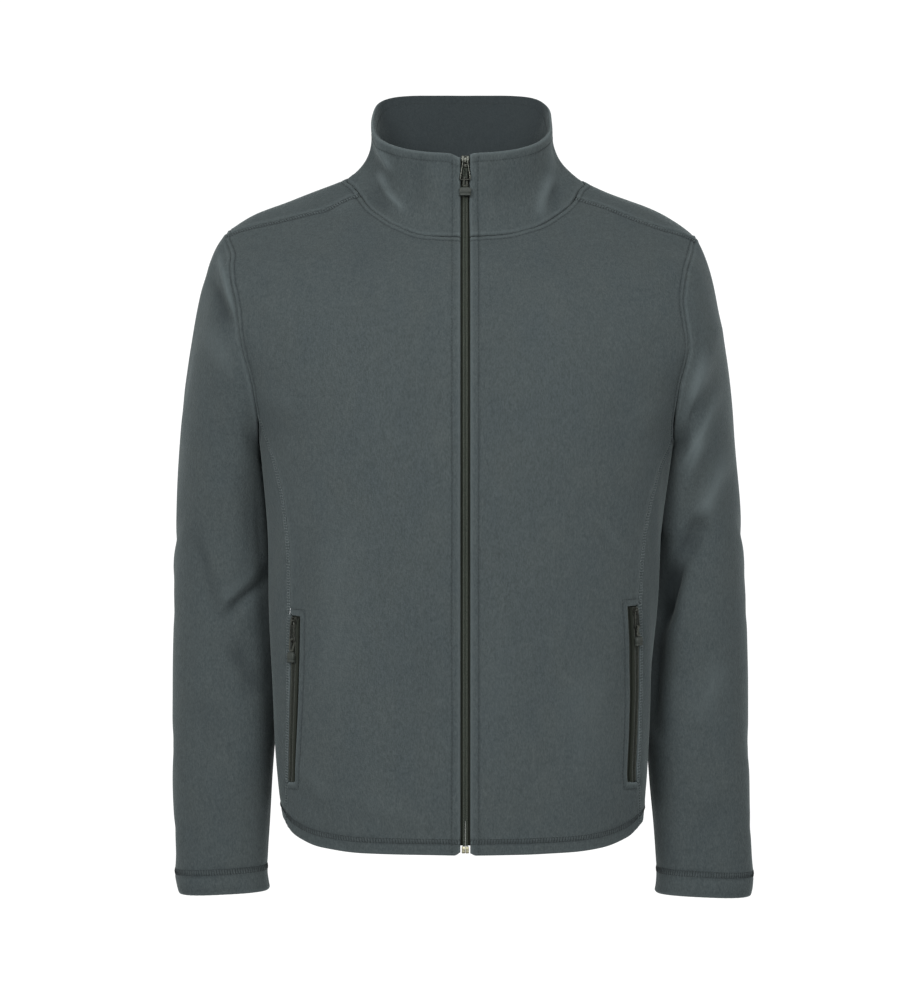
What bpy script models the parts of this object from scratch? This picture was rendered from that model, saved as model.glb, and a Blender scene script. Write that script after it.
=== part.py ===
"""A fleece zip jacket, filled out as worn with nobody in it.

Metres, +Z up. The front faces -Y, the wearer's right is -X. The origin lies between the two shoulder
lines at the neck, on the middle of the garment.

A place on the body's outer face is a turn and a height. The turn goes from -90 degrees at the middle of
the front, through 0 at the side or the ridge of the shoulder, to 90 at the middle of the back.
"""
import math

import bmesh
import bpy
import numpy as np
from mathutils import Matrix, Vector

RIGHT, LEFT = -1, 1
SIDES = {RIGHT: "right", LEFT: "left"}

# ---- cloth
CLOTH = 0.0024             # one layer of fleece
TURNED = 0.0042            # two layers, where an edge is turned in and stitched
COLLAR_CLOTH = 0.0046      # the collar is double
HEM_TURN = 0.0155          # height of the turned hem
SEAM = 0.0003              # gap between two pieces

# ---- where the pieces meet
UNDERARM = -0.272          # height of the lowest point of the armholes
TIP = {RIGHT: -0.052, LEFT: -0.057}       # height where an armhole crosses the shoulder's ridge
ARM_FRONT, ARM_BACK = 0.074, 0.080        # how far the armhole reaches forward and back
ARM_MIDDLE = -0.0125       # depth of the underarm point
TIP_EASE, TIP_EASE_AT, TIP_EASE_WIDE = 0.28, 23, 14   # it reaches less far at this turn from its tip
SIDE_JOIN = {RIGHT: 135, LEFT: 150}       # where the side seam runs into the armhole, round from the tip
SHOULDER_JOIN = 15         # where the shoulder seam runs into the armhole
NECK_JOIN = 73             # where the shoulder seam runs into the neck seam, round from the front

# ---- front zip
ZIP_X = 0.0038             # the zip's line
ZIP_GAP = 0.0048           # half of the band that shows between the two fronts
ZIP_TAPE_DEEP = 0.0050     # the tape's front face behind the fronts' outer face
COLLAR_MORE = 0.0005       # how much deeper it lies behind the collar
TAPE = 0.0009              # thickness of zip tape
TAPE_WIDE = 0.0125         # from the zip's line to the tape's outer edge
COIL_WIDE = 0.0029         # half width of the closed coil
COIL_THICK = 0.0021
ZIP_LOW = -0.6785          # lower end of the box and pin
BOX_TALL, BOX_WIDE, BOX_THICK = 0.0068, 0.0037, 0.0036
SLIDER_HEIGHT = 0.0138     # middle of the front slider

# ---- pocket zips, in the side seams
POCKET_TOP = {RIGHT: -0.4446, LEFT: -0.4346}
POCKET_LOW = {RIGHT: -0.6116, LEFT: -0.6116}
POCKET_SLOT = 0.0112       # width of the slot between the front's edge and the side seam
POCKET_STEP = 0.0012       # height over which the slot opens at its ends
POCKET_TAPE = 0.0115       # from the pocket zip's line to its tape's edge
POCKET_TAPE_DEEP = 0.0046
POCKET_PAST = 0.007        # how far the tape runs past the ends of the slot

# ---- sliders and pulls, in across, up and out from the middle of the slider on the cloth's face
PLATE_LONG, PLATE_WIDE, PLATE_THICK = 0.0120, 0.0078, 0.0012
POST_LONG, POST_WIDE = 0.0024, 0.0022
CROWN_WIDE = 0.0022
HINGE_UP, HINGE_OVER = 0.0012, 0.0014     # the pull's axis, up from the middle and over the plate
WIRE = 0.00075             # radius of the pull's wire
CORD = 0.0009              # radius of its cord

# ---- fineness
ACROSS = 12                # columns over one front, and over one half of the back
NECK_ROWS = 5              # rows of a front, and of the back, that end on the neck seam
SLEEVE_ROWS = 21
COLLAR_ROWS = 6
ARM_STEP = 15              # degrees round the armhole


class Table:
    """Rows of named columns, read smoothly between the rows by the value in the first column."""

    def __init__(self, names, *rows):
        self.names = names.split()
        self.rows = np.array(rows, dtype=float)
        slopes = np.diff(self.rows, axis=0) / np.diff(self.rows[:, :1], axis=0)
        before, after = slopes[:-1], slopes[1:]
        rising = before * after > 0
        mean = np.where(rising, 2 * before * after / np.where(rising, before + after, 1), 0)
        self.slopes = np.vstack([slopes[:1], mean, slopes[-1:]])

    def read(self, name, place):
        column = self.names.index(name)
        key = self.rows[:, 0]
        place = np.clip(np.asarray(place, dtype=float), key[0], key[-1])
        low = np.clip(np.searchsorted(key, place, side="right") - 1, 0, len(key) - 2)
        span = key[low + 1] - key[low]
        t = (place - key[low]) / span
        start, end = self.rows[low, column], self.rows[low + 1, column]
        leave, arrive = self.slopes[low, column] * span, self.slopes[low + 1, column] * span
        return (start * (1 + 2 * t) * (1 - t) ** 2 + leave * t * (1 - t) ** 2
                + end * t * t * (3 - 2 * t) + arrive * t * t * (t - 1))


# Half widths to the wearer's right and left, how far the middle of the front and back stand out, the
# depth of the widest place as the front and the back half see it, and how square each half is. Above
# the tips the widest place is the ridge of the shoulder.
BODY = Table(
    "height   right    left     front    back     front_side back_side front_square back_square",
    (-0.690,  0.1790,  0.1830,  0.1265,  0.1150,  -0.012,    -0.012,   2.70,        2.5),
    (-0.655,  0.1835,  0.1865,  0.1290,  0.1160,  -0.012,    -0.012,   2.70,        2.5),
    (-0.625,  0.1880,  0.1900,  0.1305,  0.1140,  -0.012,    -0.012,   2.70,        2.5),
    (-0.580,  0.1915,  0.1920,  0.1310,  0.1080,  -0.012,    -0.012,   2.70,        2.5),
    (-0.500,  0.1948,  0.1955,  0.1330,  0.1030,  -0.012,    -0.012,   2.65,        2.5),
    (-0.430,  0.1975,  0.2000,  0.1360,  0.1050,  -0.012,    -0.012,   2.60,        2.5),
    (-0.350,  0.2010,  0.2065,  0.1400,  0.1150,  -0.012,    -0.012,   2.50,        2.4),
    (-0.272,  0.2075,  0.2165,  0.1420,  0.1280,  -0.0125,   -0.0125,  2.40,        2.4),
    (-0.220,  0.2175,  0.2275,  0.1390,  0.1340,  -0.040,     0.010,   2.30,        2.4),
    (-0.170,  0.2315,  0.2390,  0.1310,  0.1340,  -0.055,     0.030,   2.20,        2.3),
    (-0.130,  0.2445,  0.2395,  0.1180,  0.1300,  -0.050,     0.035,   2.10,        2.2),
    (-0.090,  0.2585,  0.2475,  0.1000,  0.1220,  -0.030,     0.020,   2.00,        2.1),
    (-0.0625, 0.2530,  0.2460,  0.0800,  0.1140,   0.0,       0.0,     2.00,        2.0),
    (-0.050,  0.2405,  0.2350,  0.0690,  0.1100,   0.0,       0.0,     2.00,        2.0),
    (-0.034,  0.2156,  0.2115,  0.0540,  0.1030,   0.0,       0.0,     2.00,        2.0),
    (-0.0176, 0.1742,  0.1722,  0.0390,  0.0950,   0.0,       0.0,     2.00,        2.0),
    (-0.001,  0.1318,  0.1298,  0.0250,  0.0865,   0.0,       0.0,     2.00,        2.0),
    (0.0072,  0.1132,  0.1112,  0.0200,  0.0820,   0.0,       0.0,     2.00,        2.0),
    (0.0155,  0.1018,  0.1008,  0.0170,  0.0780,   0.0,       0.0,     2.00,        2.1),
    (0.0240,  0.0956,  0.0946,  0.0150,  0.0740,   0.0,       0.0,     2.00,        2.2),
)

# The lower edge, by turn.
HEM = Table(
    "turn  height",
    (-90, -0.6810),
    (-60, -0.6795),
    (-45, -0.6760),
    (-33, -0.6690),
    (-18, -0.6580),
    (0,   -0.6520),
    (30,  -0.6560),
    (60,  -0.6680),
    (90,  -0.6720),
)

# The side seams lie on the front of the body.
SIDE_SEAM = Table(
    "height   right_turn left_turn",
    (-0.690,  -19.5,     -20.5),
    (-0.655,  -21.5,     -22.5),
    (-0.630,  -26.5,     -26.5),
    (-0.600,  -30.0,     -29.5),
    (-0.530,  -33.1,     -29.3),
    (-0.480,  -34.6,     -30.5),
    (-0.425,  -35.4,     -33.4),
    (-0.380,  -35.6,     -32.8),
    (-0.330,  -33.4,     -29.8),
    (-0.293,  -29.9,     -23.5),
    (-0.272,  -26.0,     -15.5),
    (-0.235,  -17.5,      -9.0),
)

# The neck seam, round from the middle of the front to the middle of the back.
NECK = Table(
    "around right_turn right_height left_turn left_height",
    (0,     -90.0,     -0.0625,     -90.0,    -0.0625),
    (22,    -82.0,     -0.0612,     -80.5,    -0.0600),
    (40,    -74.5,     -0.0516,     -72.5,    -0.0529),
    (55,    -67.0,     -0.0370,     -63.0,    -0.0370),
    (70,    -54.0,     -0.0177,     -50.0,    -0.0205),
    (80,    -37.0,     -0.0045,     -36.0,    -0.0090),
    (90,      0.0,      0.0060,       0.0,     0.0020),
    (135,    45.0,      0.0135,      45.0,     0.0125),
    (180,    90.0,      0.0200,      90.0,     0.0200),
)

# The shoulder seams, from the neck seam to the armhole, lie in front of the ridge.
SHOULDER_SEAM = Table(
    "along right_turn right_height left_turn left_height",
    (0.0,  -51.0,     -0.0135,     -47.5,    -0.0170),
    (0.25, -48.0,     -0.0300,     -41.0,    -0.0275),
    (0.5,  -40.5,     -0.0372,     -36.5,    -0.0370),
    (0.75, -28.5,     -0.0440,     -28.0,    -0.0490),
    (1.0,  -13.5,     -0.0558,     -13.5,    -0.0607),
)

# The sleeves, ring by ring down the arm: the outer and the inner end of the ring, the depth of its
# middle, half its depth and how square it is.
SLEEVE = {
    RIGHT: Table(
        "down outer   outer_z  inner   inner_z  middle  half    square",
        (0,  0.2425,  -0.0520, 0.2075, -0.2720, -0.006, 0.0770, 2.00),
        (1,  0.2530,  -0.0670, 0.2090, -0.2800, -0.002, 0.0800, 2.00),
        (2,  0.2640,  -0.0950, 0.2085, -0.2890,  0.004, 0.0820, 2.00),
        (3,  0.2735,  -0.1320, 0.2060, -0.3000,  0.011, 0.0830, 2.05),
        (4,  0.2815,  -0.1720, 0.2025, -0.3150,  0.018, 0.0820, 2.10),
        (5,  0.2880,  -0.2140, 0.1995, -0.3350,  0.024, 0.0800, 2.15),
        (6,  0.2930,  -0.2580, 0.1975, -0.3600,  0.029, 0.0770, 2.20),
        (8,  0.2973,  -0.3480, 0.1945, -0.4180,  0.034, 0.0720, 2.25),
        (10, 0.2998,  -0.4380, 0.1928, -0.4840,  0.033, 0.0660, 2.30),
        (12, 0.3010,  -0.5280, 0.1938, -0.5520,  0.028, 0.0585, 2.40),
        (14, 0.2998,  -0.6170, 0.1970, -0.6220,  0.022, 0.0495, 2.40),
        (16, 0.2970,  -0.6920, 0.2018, -0.6900,  0.018, 0.0410, 2.40),
        (17, 0.2980,  -0.7140, 0.2024, -0.7110,  0.017, 0.0390, 2.40),
        (18, 0.2962,  -0.7270, 0.2008, -0.7230,  0.016, 0.0385, 2.40),
        (19, 0.2935,  -0.7365, 0.1990, -0.7315,  0.016, 0.0370, 2.40),
    ),
    LEFT: Table(
        "down outer   outer_z  inner   inner_z  middle  half    square",
        (0,  0.2395,  -0.0570, 0.2165, -0.2720, -0.006, 0.0770, 2.00),
        (1,  0.2480,  -0.0710, 0.2175, -0.2800, -0.002, 0.0800, 2.00),
        (2,  0.2580,  -0.0970, 0.2165, -0.2890,  0.004, 0.0820, 2.00),
        (3,  0.2665,  -0.1320, 0.2140, -0.3000,  0.011, 0.0830, 2.05),
        (4,  0.2738,  -0.1720, 0.2100, -0.3150,  0.018, 0.0820, 2.10),
        (5,  0.2795,  -0.2140, 0.2065, -0.3350,  0.024, 0.0800, 2.15),
        (6,  0.2835,  -0.2580, 0.2030, -0.3600,  0.029, 0.0770, 2.20),
        (8,  0.2918,  -0.3480, 0.1985, -0.4180,  0.034, 0.0720, 2.25),
        (10, 0.2963,  -0.4380, 0.1945, -0.4840,  0.033, 0.0660, 2.30),
        (12, 0.2982,  -0.5280, 0.1930, -0.5520,  0.028, 0.0585, 2.40),
        (14, 0.2995,  -0.6170, 0.1968, -0.6220,  0.022, 0.0495, 2.40),
        (16, 0.3018,  -0.6940, 0.2018, -0.6920,  0.018, 0.0410, 2.40),
        (17, 0.3034,  -0.7160, 0.2032, -0.7140,  0.017, 0.0390, 2.40),
        (18, 0.3026,  -0.7290, 0.2024, -0.7260,  0.016, 0.0385, 2.40),
        (19, 0.3005,  -0.7388, 0.2008, -0.7346,  0.016, 0.0370, 2.40),
    ),
}
CUFF = 19                  # the last ring
SLEEVE_CLEAR = 0.0016      # how far the sleeve stays off the body it hangs against

# The collar's folded top edge is a squared round in one slanting plane.
RIM_HALF, RIM_FRONT, RIM_BACK = 0.0934, 0.0755, 0.0790
RIM_SQUARE_FRONT, RIM_SQUARE_BACK = 2.4, 4.8
RIM_HEIGHT, RIM_SLANT = 0.0607, 0.5055
COLLAR_START = 0.003       # its lowest row, as a share of its rise
RIM_CORNER = 0.0045        # how far the rim dips where it meets the zip
LEAN, LEAN_MORE = 0.30, 0.80              # how far the collar leans in from its seam, and more so at the side

# The largest folds of the sleeves, on their front: a line from its start to its end, half its width,
# and how far it stands out.
FOLDS = Table(
    "fold start   start_z  end     end_z    wide   out",
    (0,   0.2570, -0.1550, 0.2360, -0.2240, 0.011,  0.0030),
    (1,   0.2410, -0.2770, 0.2100, -0.3560, 0.012,  0.0035),
    (2,   0.2420, -0.3600, 0.2010, -0.4460, 0.013, -0.0050),
    (3,   0.2010, -0.4460, 0.1960, -0.5600, 0.012, -0.0040),
    (4,  -0.2300, -0.4350, -0.2010, -0.4080, 0.010, -0.0035),
    (5,  -0.2620, -0.0980, -0.2330, -0.1430, 0.010,  0.0025),
)

# The three pulls, down from their axis: where the wire link ends and how wide it is at its top and its
# foot, how far the foot swings out, where the cord ends, how long, wide and thick the grip is, and how far
# in front of the axis it lies.
PULLS = {
    "front": dict(link=0.0195, top=0.0022, foot=0.0052, swing=0.0024, cord=0.0272,
                  grip=0.0084, wide=0.0118, thick=0.0040, proud=0.0016),
    "right": dict(link=0.0195, top=0.0020, foot=0.0034, swing=0.0004, cord=0.0300,
                  grip=0.0105, wide=0.0088, thick=0.0036, proud=0.0),
    "left": dict(link=0.0165, top=0.0020, foot=0.0034, swing=0.0004, cord=0.0250,
                 grip=0.0092, wide=0.0092, thick=0.0036, proud=0.0),
}


def body(side, turn, height):
    """Points of the body's outer face."""
    turn, height = np.broadcast_arrays(np.asarray(turn, dtype=float), np.asarray(height, dtype=float))
    front = turn <= 0
    half = BODY.read(SIDES[side], height)
    square = np.where(front, BODY.read("front_square", height), BODY.read("back_square", height))
    widest = np.where(front, BODY.read("front_side", height), BODY.read("back_side", height))
    middle = np.where(front, -BODY.read("front", height), BODY.read("back", height))
    angle = np.radians(np.abs(turn))
    c, s = np.abs(np.cos(angle)), np.abs(np.sin(angle))
    rounding = (c ** square + s ** square) ** (-1 / square)
    x = side * half * c * rounding
    y = widest + (middle - widest) * s * rounding
    return np.stack([x, y, height], axis=-1)


def unit(vectors):
    return vectors / np.linalg.norm(vectors, axis=-1, keepdims=True)


def body_outward(side, turn, height):
    """The directions that point straight out of the body's face."""
    turn, height = np.broadcast_arrays(np.asarray(turn, dtype=float), np.asarray(height, dtype=float))
    reach, rise = 1.0, 0.002
    low = np.where(turn <= 0, np.maximum(turn - reach, -90), np.maximum(turn - reach, 1e-4))
    high = np.where(turn <= 0, np.minimum(turn + reach, 0), np.minimum(turn + reach, 90))
    over = body(side, high, height) - body(side, low, height)
    up = body(side, turn, height + rise) - body(side, turn, height - rise)
    return unit(np.cross(over, up)) * side


def body_depth(side, turn, height, depth):
    """Points that lie this deep behind the body's outer face."""
    return body(side, turn, height) - body_outward(side, turn, height) * np.asarray(depth)[..., None]


def armhole(side, around):
    """Turn and height of the armhole, round from its tip: 90 is its front, 180 the underarm."""
    around = np.asarray(around, dtype=float)
    from_tip = np.minimum(around, 360 - around)
    ease = 1 - TIP_EASE * np.exp(-((from_tip - TIP_EASE_AT) / TIP_EASE_WIDE) ** 2)
    around = np.radians(around)
    top = TIP[side]
    height = (top + UNDERARM) / 2 + (top - UNDERARM) / 2 * np.cos(around)
    front = np.sin(around) >= 0
    middle = np.interp(height, [UNDERARM, top], [ARM_MIDDLE, 0])
    y = middle - np.where(front, ARM_FRONT, ARM_BACK) * np.sin(around) * ease
    widest = np.where(front, BODY.read("front_side", height), BODY.read("back_side", height))
    centre = np.where(front, -BODY.read("front", height), BODY.read("back", height))
    square = np.where(front, BODY.read("front_square", height), BODY.read("back_square", height))
    s = np.clip((y - widest) / (centre - widest), 0, 1)
    turn = np.degrees(np.arctan2(s, (1 - s ** square) ** (1 / square)))
    return np.stack([np.where(front, -turn, turn + 1e-4), height], axis=-1)


def turn_at(side, x, height):
    """The turn at which the front lies this far from the middle."""
    square = BODY.read("front_square", height)
    c = np.clip(np.abs(x) / BODY.read(SIDES[side], height), 0, 1)
    return -np.degrees(np.arctan2((1 - c ** square) ** (1 / square), c))


def neck(side, around):
    word = SIDES[side]
    return np.stack([NECK.read(word + "_turn", around), NECK.read(word + "_height", around)], axis=-1)


def zip_edge(side):
    """How far the edge of a front lies from the middle, and where it meets the neck seam."""
    x = ZIP_GAP - side * -ZIP_X
    around = np.linspace(0, 20, 401)
    places = neck(side, around)
    found = np.interp(x, np.abs(body(side, places[:, 0], places[:, 1])[:, 0]), around)
    return x, float(found)


def mix(start, end, t):
    return start + (end - start) * t[..., None]


def span(bottom, top, first, last):
    """Fills four edges, each a function from 0 to 1, with places in between."""
    def place(u, v):
        flat = mix(bottom(u), top(u), v) + mix(first(v), last(v), u)
        low = mix(first(np.zeros_like(u)), last(np.zeros_like(u)), u)
        high = mix(first(np.ones_like(u)), last(np.ones_like(u)), u)
        return flat - mix(low, high, v)
    return place


def run(*knots):
    """An edge that joins several stretches: pairs of where each ends, and its function from 0 to 1."""
    def edge(t):
        places, start = None, 0.0
        for end, stretch in knots:
            part = stretch(np.clip((t - start) / (end - start), 0, 1))
            places = part if places is None else np.where((t > start)[..., None], part, places)
            start = end
        return places
    return edge


def between(low, high, function):
    return lambda t: function(low + (high - low) * t)


def side_seam(side, height):
    return np.stack([SIDE_SEAM.read(SIDES[side] + "_turn", height), height], axis=-1)


def hem(turn):
    return np.stack([turn, HEM.read("height", turn)], axis=-1)


def hem_join(side):
    """Turn and height where the side seam meets the hem."""
    turn = -20.0
    for _ in range(8):
        height = float(HEM.read("height", turn))
        turn = float(SIDE_SEAM.read(SIDES[side] + "_turn", height))
    return turn, height


def side_top(side):
    return armhole(side, SIDE_JOIN[side])


def seam_with_ends(side):
    """The side seam, drawn to end exactly on the hem and on the armhole."""
    turn, low = hem_join(side)
    end = side_top(side)

    def edge(t):
        height = low + (end[1] - low) * t
        place = side_seam(side, height)
        miss = end[0] - SIDE_SEAM.read(SIDES[side] + "_turn", end[1])
        place[..., 0] += miss * t ** 6
        return place
    return edge


def shoulder(side):
    """The shoulder seam, from the neck seam to the armhole."""
    word = SIDES[side]
    start, end = neck(side, NECK_JOIN), armhole(side, SHOULDER_JOIN)

    def edge(t):
        place = np.stack([SHOULDER_SEAM.read(word + "_turn", t), SHOULDER_SEAM.read(word + "_height", t)],
                         axis=-1)
        first = start - np.array([SHOULDER_SEAM.rows[0, 1 if side == RIGHT else 3],
                                  SHOULDER_SEAM.rows[0, 2 if side == RIGHT else 4]])
        last = end - np.array([SHOULDER_SEAM.rows[-1, 1 if side == RIGHT else 3],
                               SHOULDER_SEAM.rows[-1, 2 if side == RIGHT else 4]])
        return place + first * ((1 - t) ** 4)[..., None] + last * (t ** 4)[..., None]
    return edge


def side_heights(side):
    """Heights on the side seam where the panels on both sides of it have a row, from 0 to 1."""
    low, top = hem_join(side)[1], float(side_top(side)[1])
    slot_low, slot_top = POCKET_LOW[side], POCKET_TOP[side]
    heights = [low, low + HEM_TURN, (low + HEM_TURN + slot_low) / 2, slot_low - POCKET_STEP, slot_low]
    heights += list(np.linspace(slot_low, slot_top, 6)[1:])
    heights += list(np.linspace(slot_top + POCKET_STEP, top, 7))
    return (np.array(heights) - low) / (top - low)


# ---- making closed walls

def new_object(name, mesh, material):
    thing = bpy.data.objects.new(name, mesh)
    bpy.context.scene.collection.objects.link(thing)
    mesh.materials.append(material)
    return thing


def finish(bm, name, material, sharp=40):
    mesh = bpy.data.meshes.new(name)
    bm.to_mesh(mesh)
    bm.free()
    mesh.shade_smooth()
    mesh.set_sharp_from_angle(angle=math.radians(sharp))
    return new_object(name, mesh, material)


def add_patch(bm, columns, rows, outer, inner):
    """Adds a grid whose points outer() gives, and notes the way from each to its point on the inside."""
    inward = bm.verts.layers.float_vector["inward"]
    wide, tall = len(columns) - 1, len(rows) - 1
    grid = bmesh.ops.create_grid(bm, x_segments=wide, y_segments=tall, size=0.5)["verts"]
    index = [(round((v.co.x + 0.5) * wide), round((v.co.y + 0.5) * tall)) for v in grid]
    u = np.array([columns[i] for i, _ in index], dtype=float)
    v = np.array([rows[j] for _, j in index], dtype=float)
    outside, inside = outer(u, v), inner(u, v)
    for vert, point, under in zip(grid, outside, inside):
        vert.co = point
        vert[inward] = under - point


def part_from_seams(bm):
    """Draws the edge of the sheet back by half a seam's gap."""
    moves = []
    for vert in bm.verts:
        rim = [e for e in vert.link_edges if e.is_boundary]
        if not rim:
            continue
        ways = [(e.other_vert(vert).co - vert.co).normalized() for e in rim]
        along = (ways[0] - ways[1]).normalized() if len(ways) > 1 else ways[0]
        inner = [e.other_vert(vert).co - vert.co for e in vert.link_edges if not e.is_boundary]
        way = sum(inner, Vector()) if inner else ways[0] + ways[1]
        way -= along * way.dot(along)
        moves.append((vert, way.normalized() * SEAM / 2))
    for vert, move in moves:
        vert.co += move


def wall(name, patches, material, join=2e-5):
    """One closed piece of cloth from patches that share their edges."""
    bm = bmesh.new()
    bm.verts.layers.float_vector.new("inward")
    for patch in patches:
        add_patch(bm, *patch)
    bmesh.ops.remove_doubles(bm, verts=bm.verts, dist=join)
    part_from_seams(bm)
    made = bmesh.ops.extrude_face_region(bm, geom=bm.faces[:], use_keep_orig=True)
    inward = bm.verts.layers.float_vector["inward"]
    for item in made["geom"]:
        if isinstance(item, bmesh.types.BMVert):
            item.co += item[inward]
    bm.verts.layers.float_vector.remove(inward)
    bmesh.ops.recalc_face_normals(bm, faces=bm.faces)
    return finish(bm, name, material)


def on_body(side, place, thickness):
    """The outer and inner face of a patch of the body, for wall()."""
    def outer(u, v):
        spot = place(u, v)
        return body(side, spot[..., 0], spot[..., 1])

    def inner(u, v):
        spot = place(u, v)
        return body_depth(side, spot[..., 0], spot[..., 1], thickness(u, v))
    return outer, inner


# ---- the body's panels

def front_panel(side, material):
    """From the zip to the side seam and the armhole, from the hem to the shoulder seam."""
    edge_x, edge_around = zip_edge(side)
    seam = seam_with_ends(side)
    heights = side_heights(side)
    arm_rows = (SIDE_JOIN[side] - SHOULDER_JOIN) // ARM_STEP
    side_share, neck_share = 0.68, 0.68 + 0.32 * (arm_rows - NECK_ROWS) / arm_rows
    rows = np.concatenate([heights * side_share, np.linspace(side_share, 1, arm_rows + 1)[1:]])
    columns = np.linspace(0, 1, ACROSS + 1)
    low = float(hem(turn_at(side, edge_x, -0.68))[1])
    top = float(neck(side, edge_around)[1])

    def up_the_zip(height):
        return np.stack([turn_at(side, edge_x, height), height], axis=-1)

    zip_side = run((neck_share, between(low, top, up_the_zip)),
                   (1.0, between(edge_around, NECK_JOIN, lambda a: neck(side, a))))
    arm_side = run((side_share, seam),
                   (1.0, between(SIDE_JOIN[side], SHOULDER_JOIN, lambda a: armhole(side, a))))
    bottom = between(float(turn_at(side, edge_x, low)), hem_join(side)[0], hem)
    place = span(bottom, shoulder(side), zip_side, arm_side)
    slot_from, slot_to = POCKET_LOW[side], POCKET_TOP[side]

    def slotted(u, v):
        spot = place(u, v)
        in_slot = (u > 0.999) & (spot[..., 1] > slot_from - 1e-5) & (spot[..., 1] < slot_to + 1e-5)
        step = body(side, spot[..., 0] + 1, spot[..., 1]) - body(side, spot[..., 0], spot[..., 1])
        spot[..., 0] -= np.where(in_slot, POCKET_SLOT / np.linalg.norm(step, axis=-1), 0)
        return spot

    def thickness(u, v):
        height = place(u, v)[..., 1]
        by_pocket = (u > 0.999) & (height > slot_from - POCKET_PAST) & (height < slot_to + POCKET_PAST)
        return np.where((u < 0.01) | (v < 0.01) | by_pocket, TURNED, CLOTH)

    return wall("front_" + SIDES[side], [(columns, rows, *on_body(side, slotted, thickness))], material)


def back_panel(material):
    """One piece that comes forward to the side seams and over the shoulders to the shoulder seams."""
    patches = []
    for side in SIDES:
        tongue = (180 - SIDE_JOIN[side]) // ARM_STEP
        share = ACROSS / (ACROSS + tongue)
        seam = seam_with_ends(side)
        heights = side_heights(side)
        lower_columns = np.linspace(0, 1, ACROSS + tongue + 1)
        hem_turn = hem_join(side)[0]
        flat = between(90, 1e-4, lambda t: np.stack([t, np.full_like(t, UNDERARM)], axis=-1))
        under = between(180, SIDE_JOIN[side], lambda a, s=side: armhole(s, a))
        steps = np.linspace(float(HEM.read("height", 90)), UNDERARM, len(heights))

        def middle(t, heights=heights, steps=steps):
            height = np.interp(t, heights, steps)
            return np.stack([np.full_like(height, 90.0), height], axis=-1)

        lower = span(between(90, hem_turn, hem), run((share, flat), (1.0, under)), middle, seam)
        patches.append((lower_columns, heights,
                        *on_body(side, lower, lambda u, v: np.where(v < 0.01, TURNED, CLOTH))))

        arm_rows = 180 // ARM_STEP
        upper_columns = np.linspace(0, 1, ACROSS + 1)
        neck_top = float(neck(side, 180)[1])
        middle_up = between(UNDERARM, neck_top, lambda h: np.stack([np.full_like(h, 90.0), h], axis=-1))
        split = 1 - NECK_ROWS / arm_rows
        medial = run((split, middle_up), (1.0, between(180, 90, lambda a, s=side: neck(s, a) + [1e-4, 0])))
        lateral = between(180, 360, lambda a, s=side: armhole(s, a))
        ridge_top = float(neck(side, 90)[1])
        ridge = between(ridge_top, TIP[side], lambda h: np.stack([np.full_like(h, 1e-4), h], axis=-1))
        upper = span(flat, ridge, medial, lateral)
        cloth = lambda u, v: np.full_like(u, CLOTH)
        patches.append((upper_columns, np.linspace(0, 1, arm_rows + 1), *on_body(side, upper, cloth)))

        over = between(ridge_top, TIP[side], lambda h: np.stack([np.zeros_like(h), h], axis=-1))
        neck_end = between(90, NECK_JOIN, lambda a, s=side: neck(s, a))
        arm_end = between(0, SHOULDER_JOIN, lambda a, s=side: armhole(s, a))
        forward = span(over, shoulder(side), neck_end, arm_end)
        patches.append((upper_columns, np.linspace(0, 1, 3), *on_body(side, forward, cloth)))
    return wall("back", patches, material)


# ---- the sleeves

def armhole_rounds():
    """Degrees round the armhole at which the pieces have points."""
    return [0, SHOULDER_JOIN / 2] + list(range(SHOULDER_JOIN, 360, ARM_STEP)) + [360]


def ring(side, down, around):
    """Points of the sleeve's plain rings."""
    table = SLEEVE[side]
    angle = np.radians(around)
    c, s = np.cos(angle), np.sin(angle)
    square = table.read("square", down)
    rounding = (np.abs(c) ** square + np.abs(s) ** square) ** (-1 / square)
    outer, inner = table.read("outer", down), table.read("inner", down)
    outer_z, inner_z = table.read("outer_z", down), table.read("inner_z", down)
    x = (outer + inner) / 2 + (outer - inner) / 2 * c * rounding
    z = (outer_z + inner_z) / 2 + (outer_z - inner_z) / 2 * c * rounding
    y = table.read("middle", down) - table.read("half", down) * s * rounding
    return np.stack([side * x, y, z], axis=-1)


def fold_relief(points):
    """How far the large folds stand out at these points."""
    out = np.zeros(len(points))
    facing = np.clip((0.02 - points[:, 1]) / 0.03, 0, 1)
    for _, x0, z0, x1, z1, wide, height in FOLDS.rows:
        way = np.array([x1 - x0, z1 - z0])
        spot = points[:, [0, 2]] - np.array([x0, z0])
        t = np.clip(spot @ way / (way @ way), 0, 1)
        away = np.linalg.norm(spot - t[:, None] * way, axis=1)
        out += height * np.exp(-(away / wide) ** 2) * facing
    return out


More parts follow.
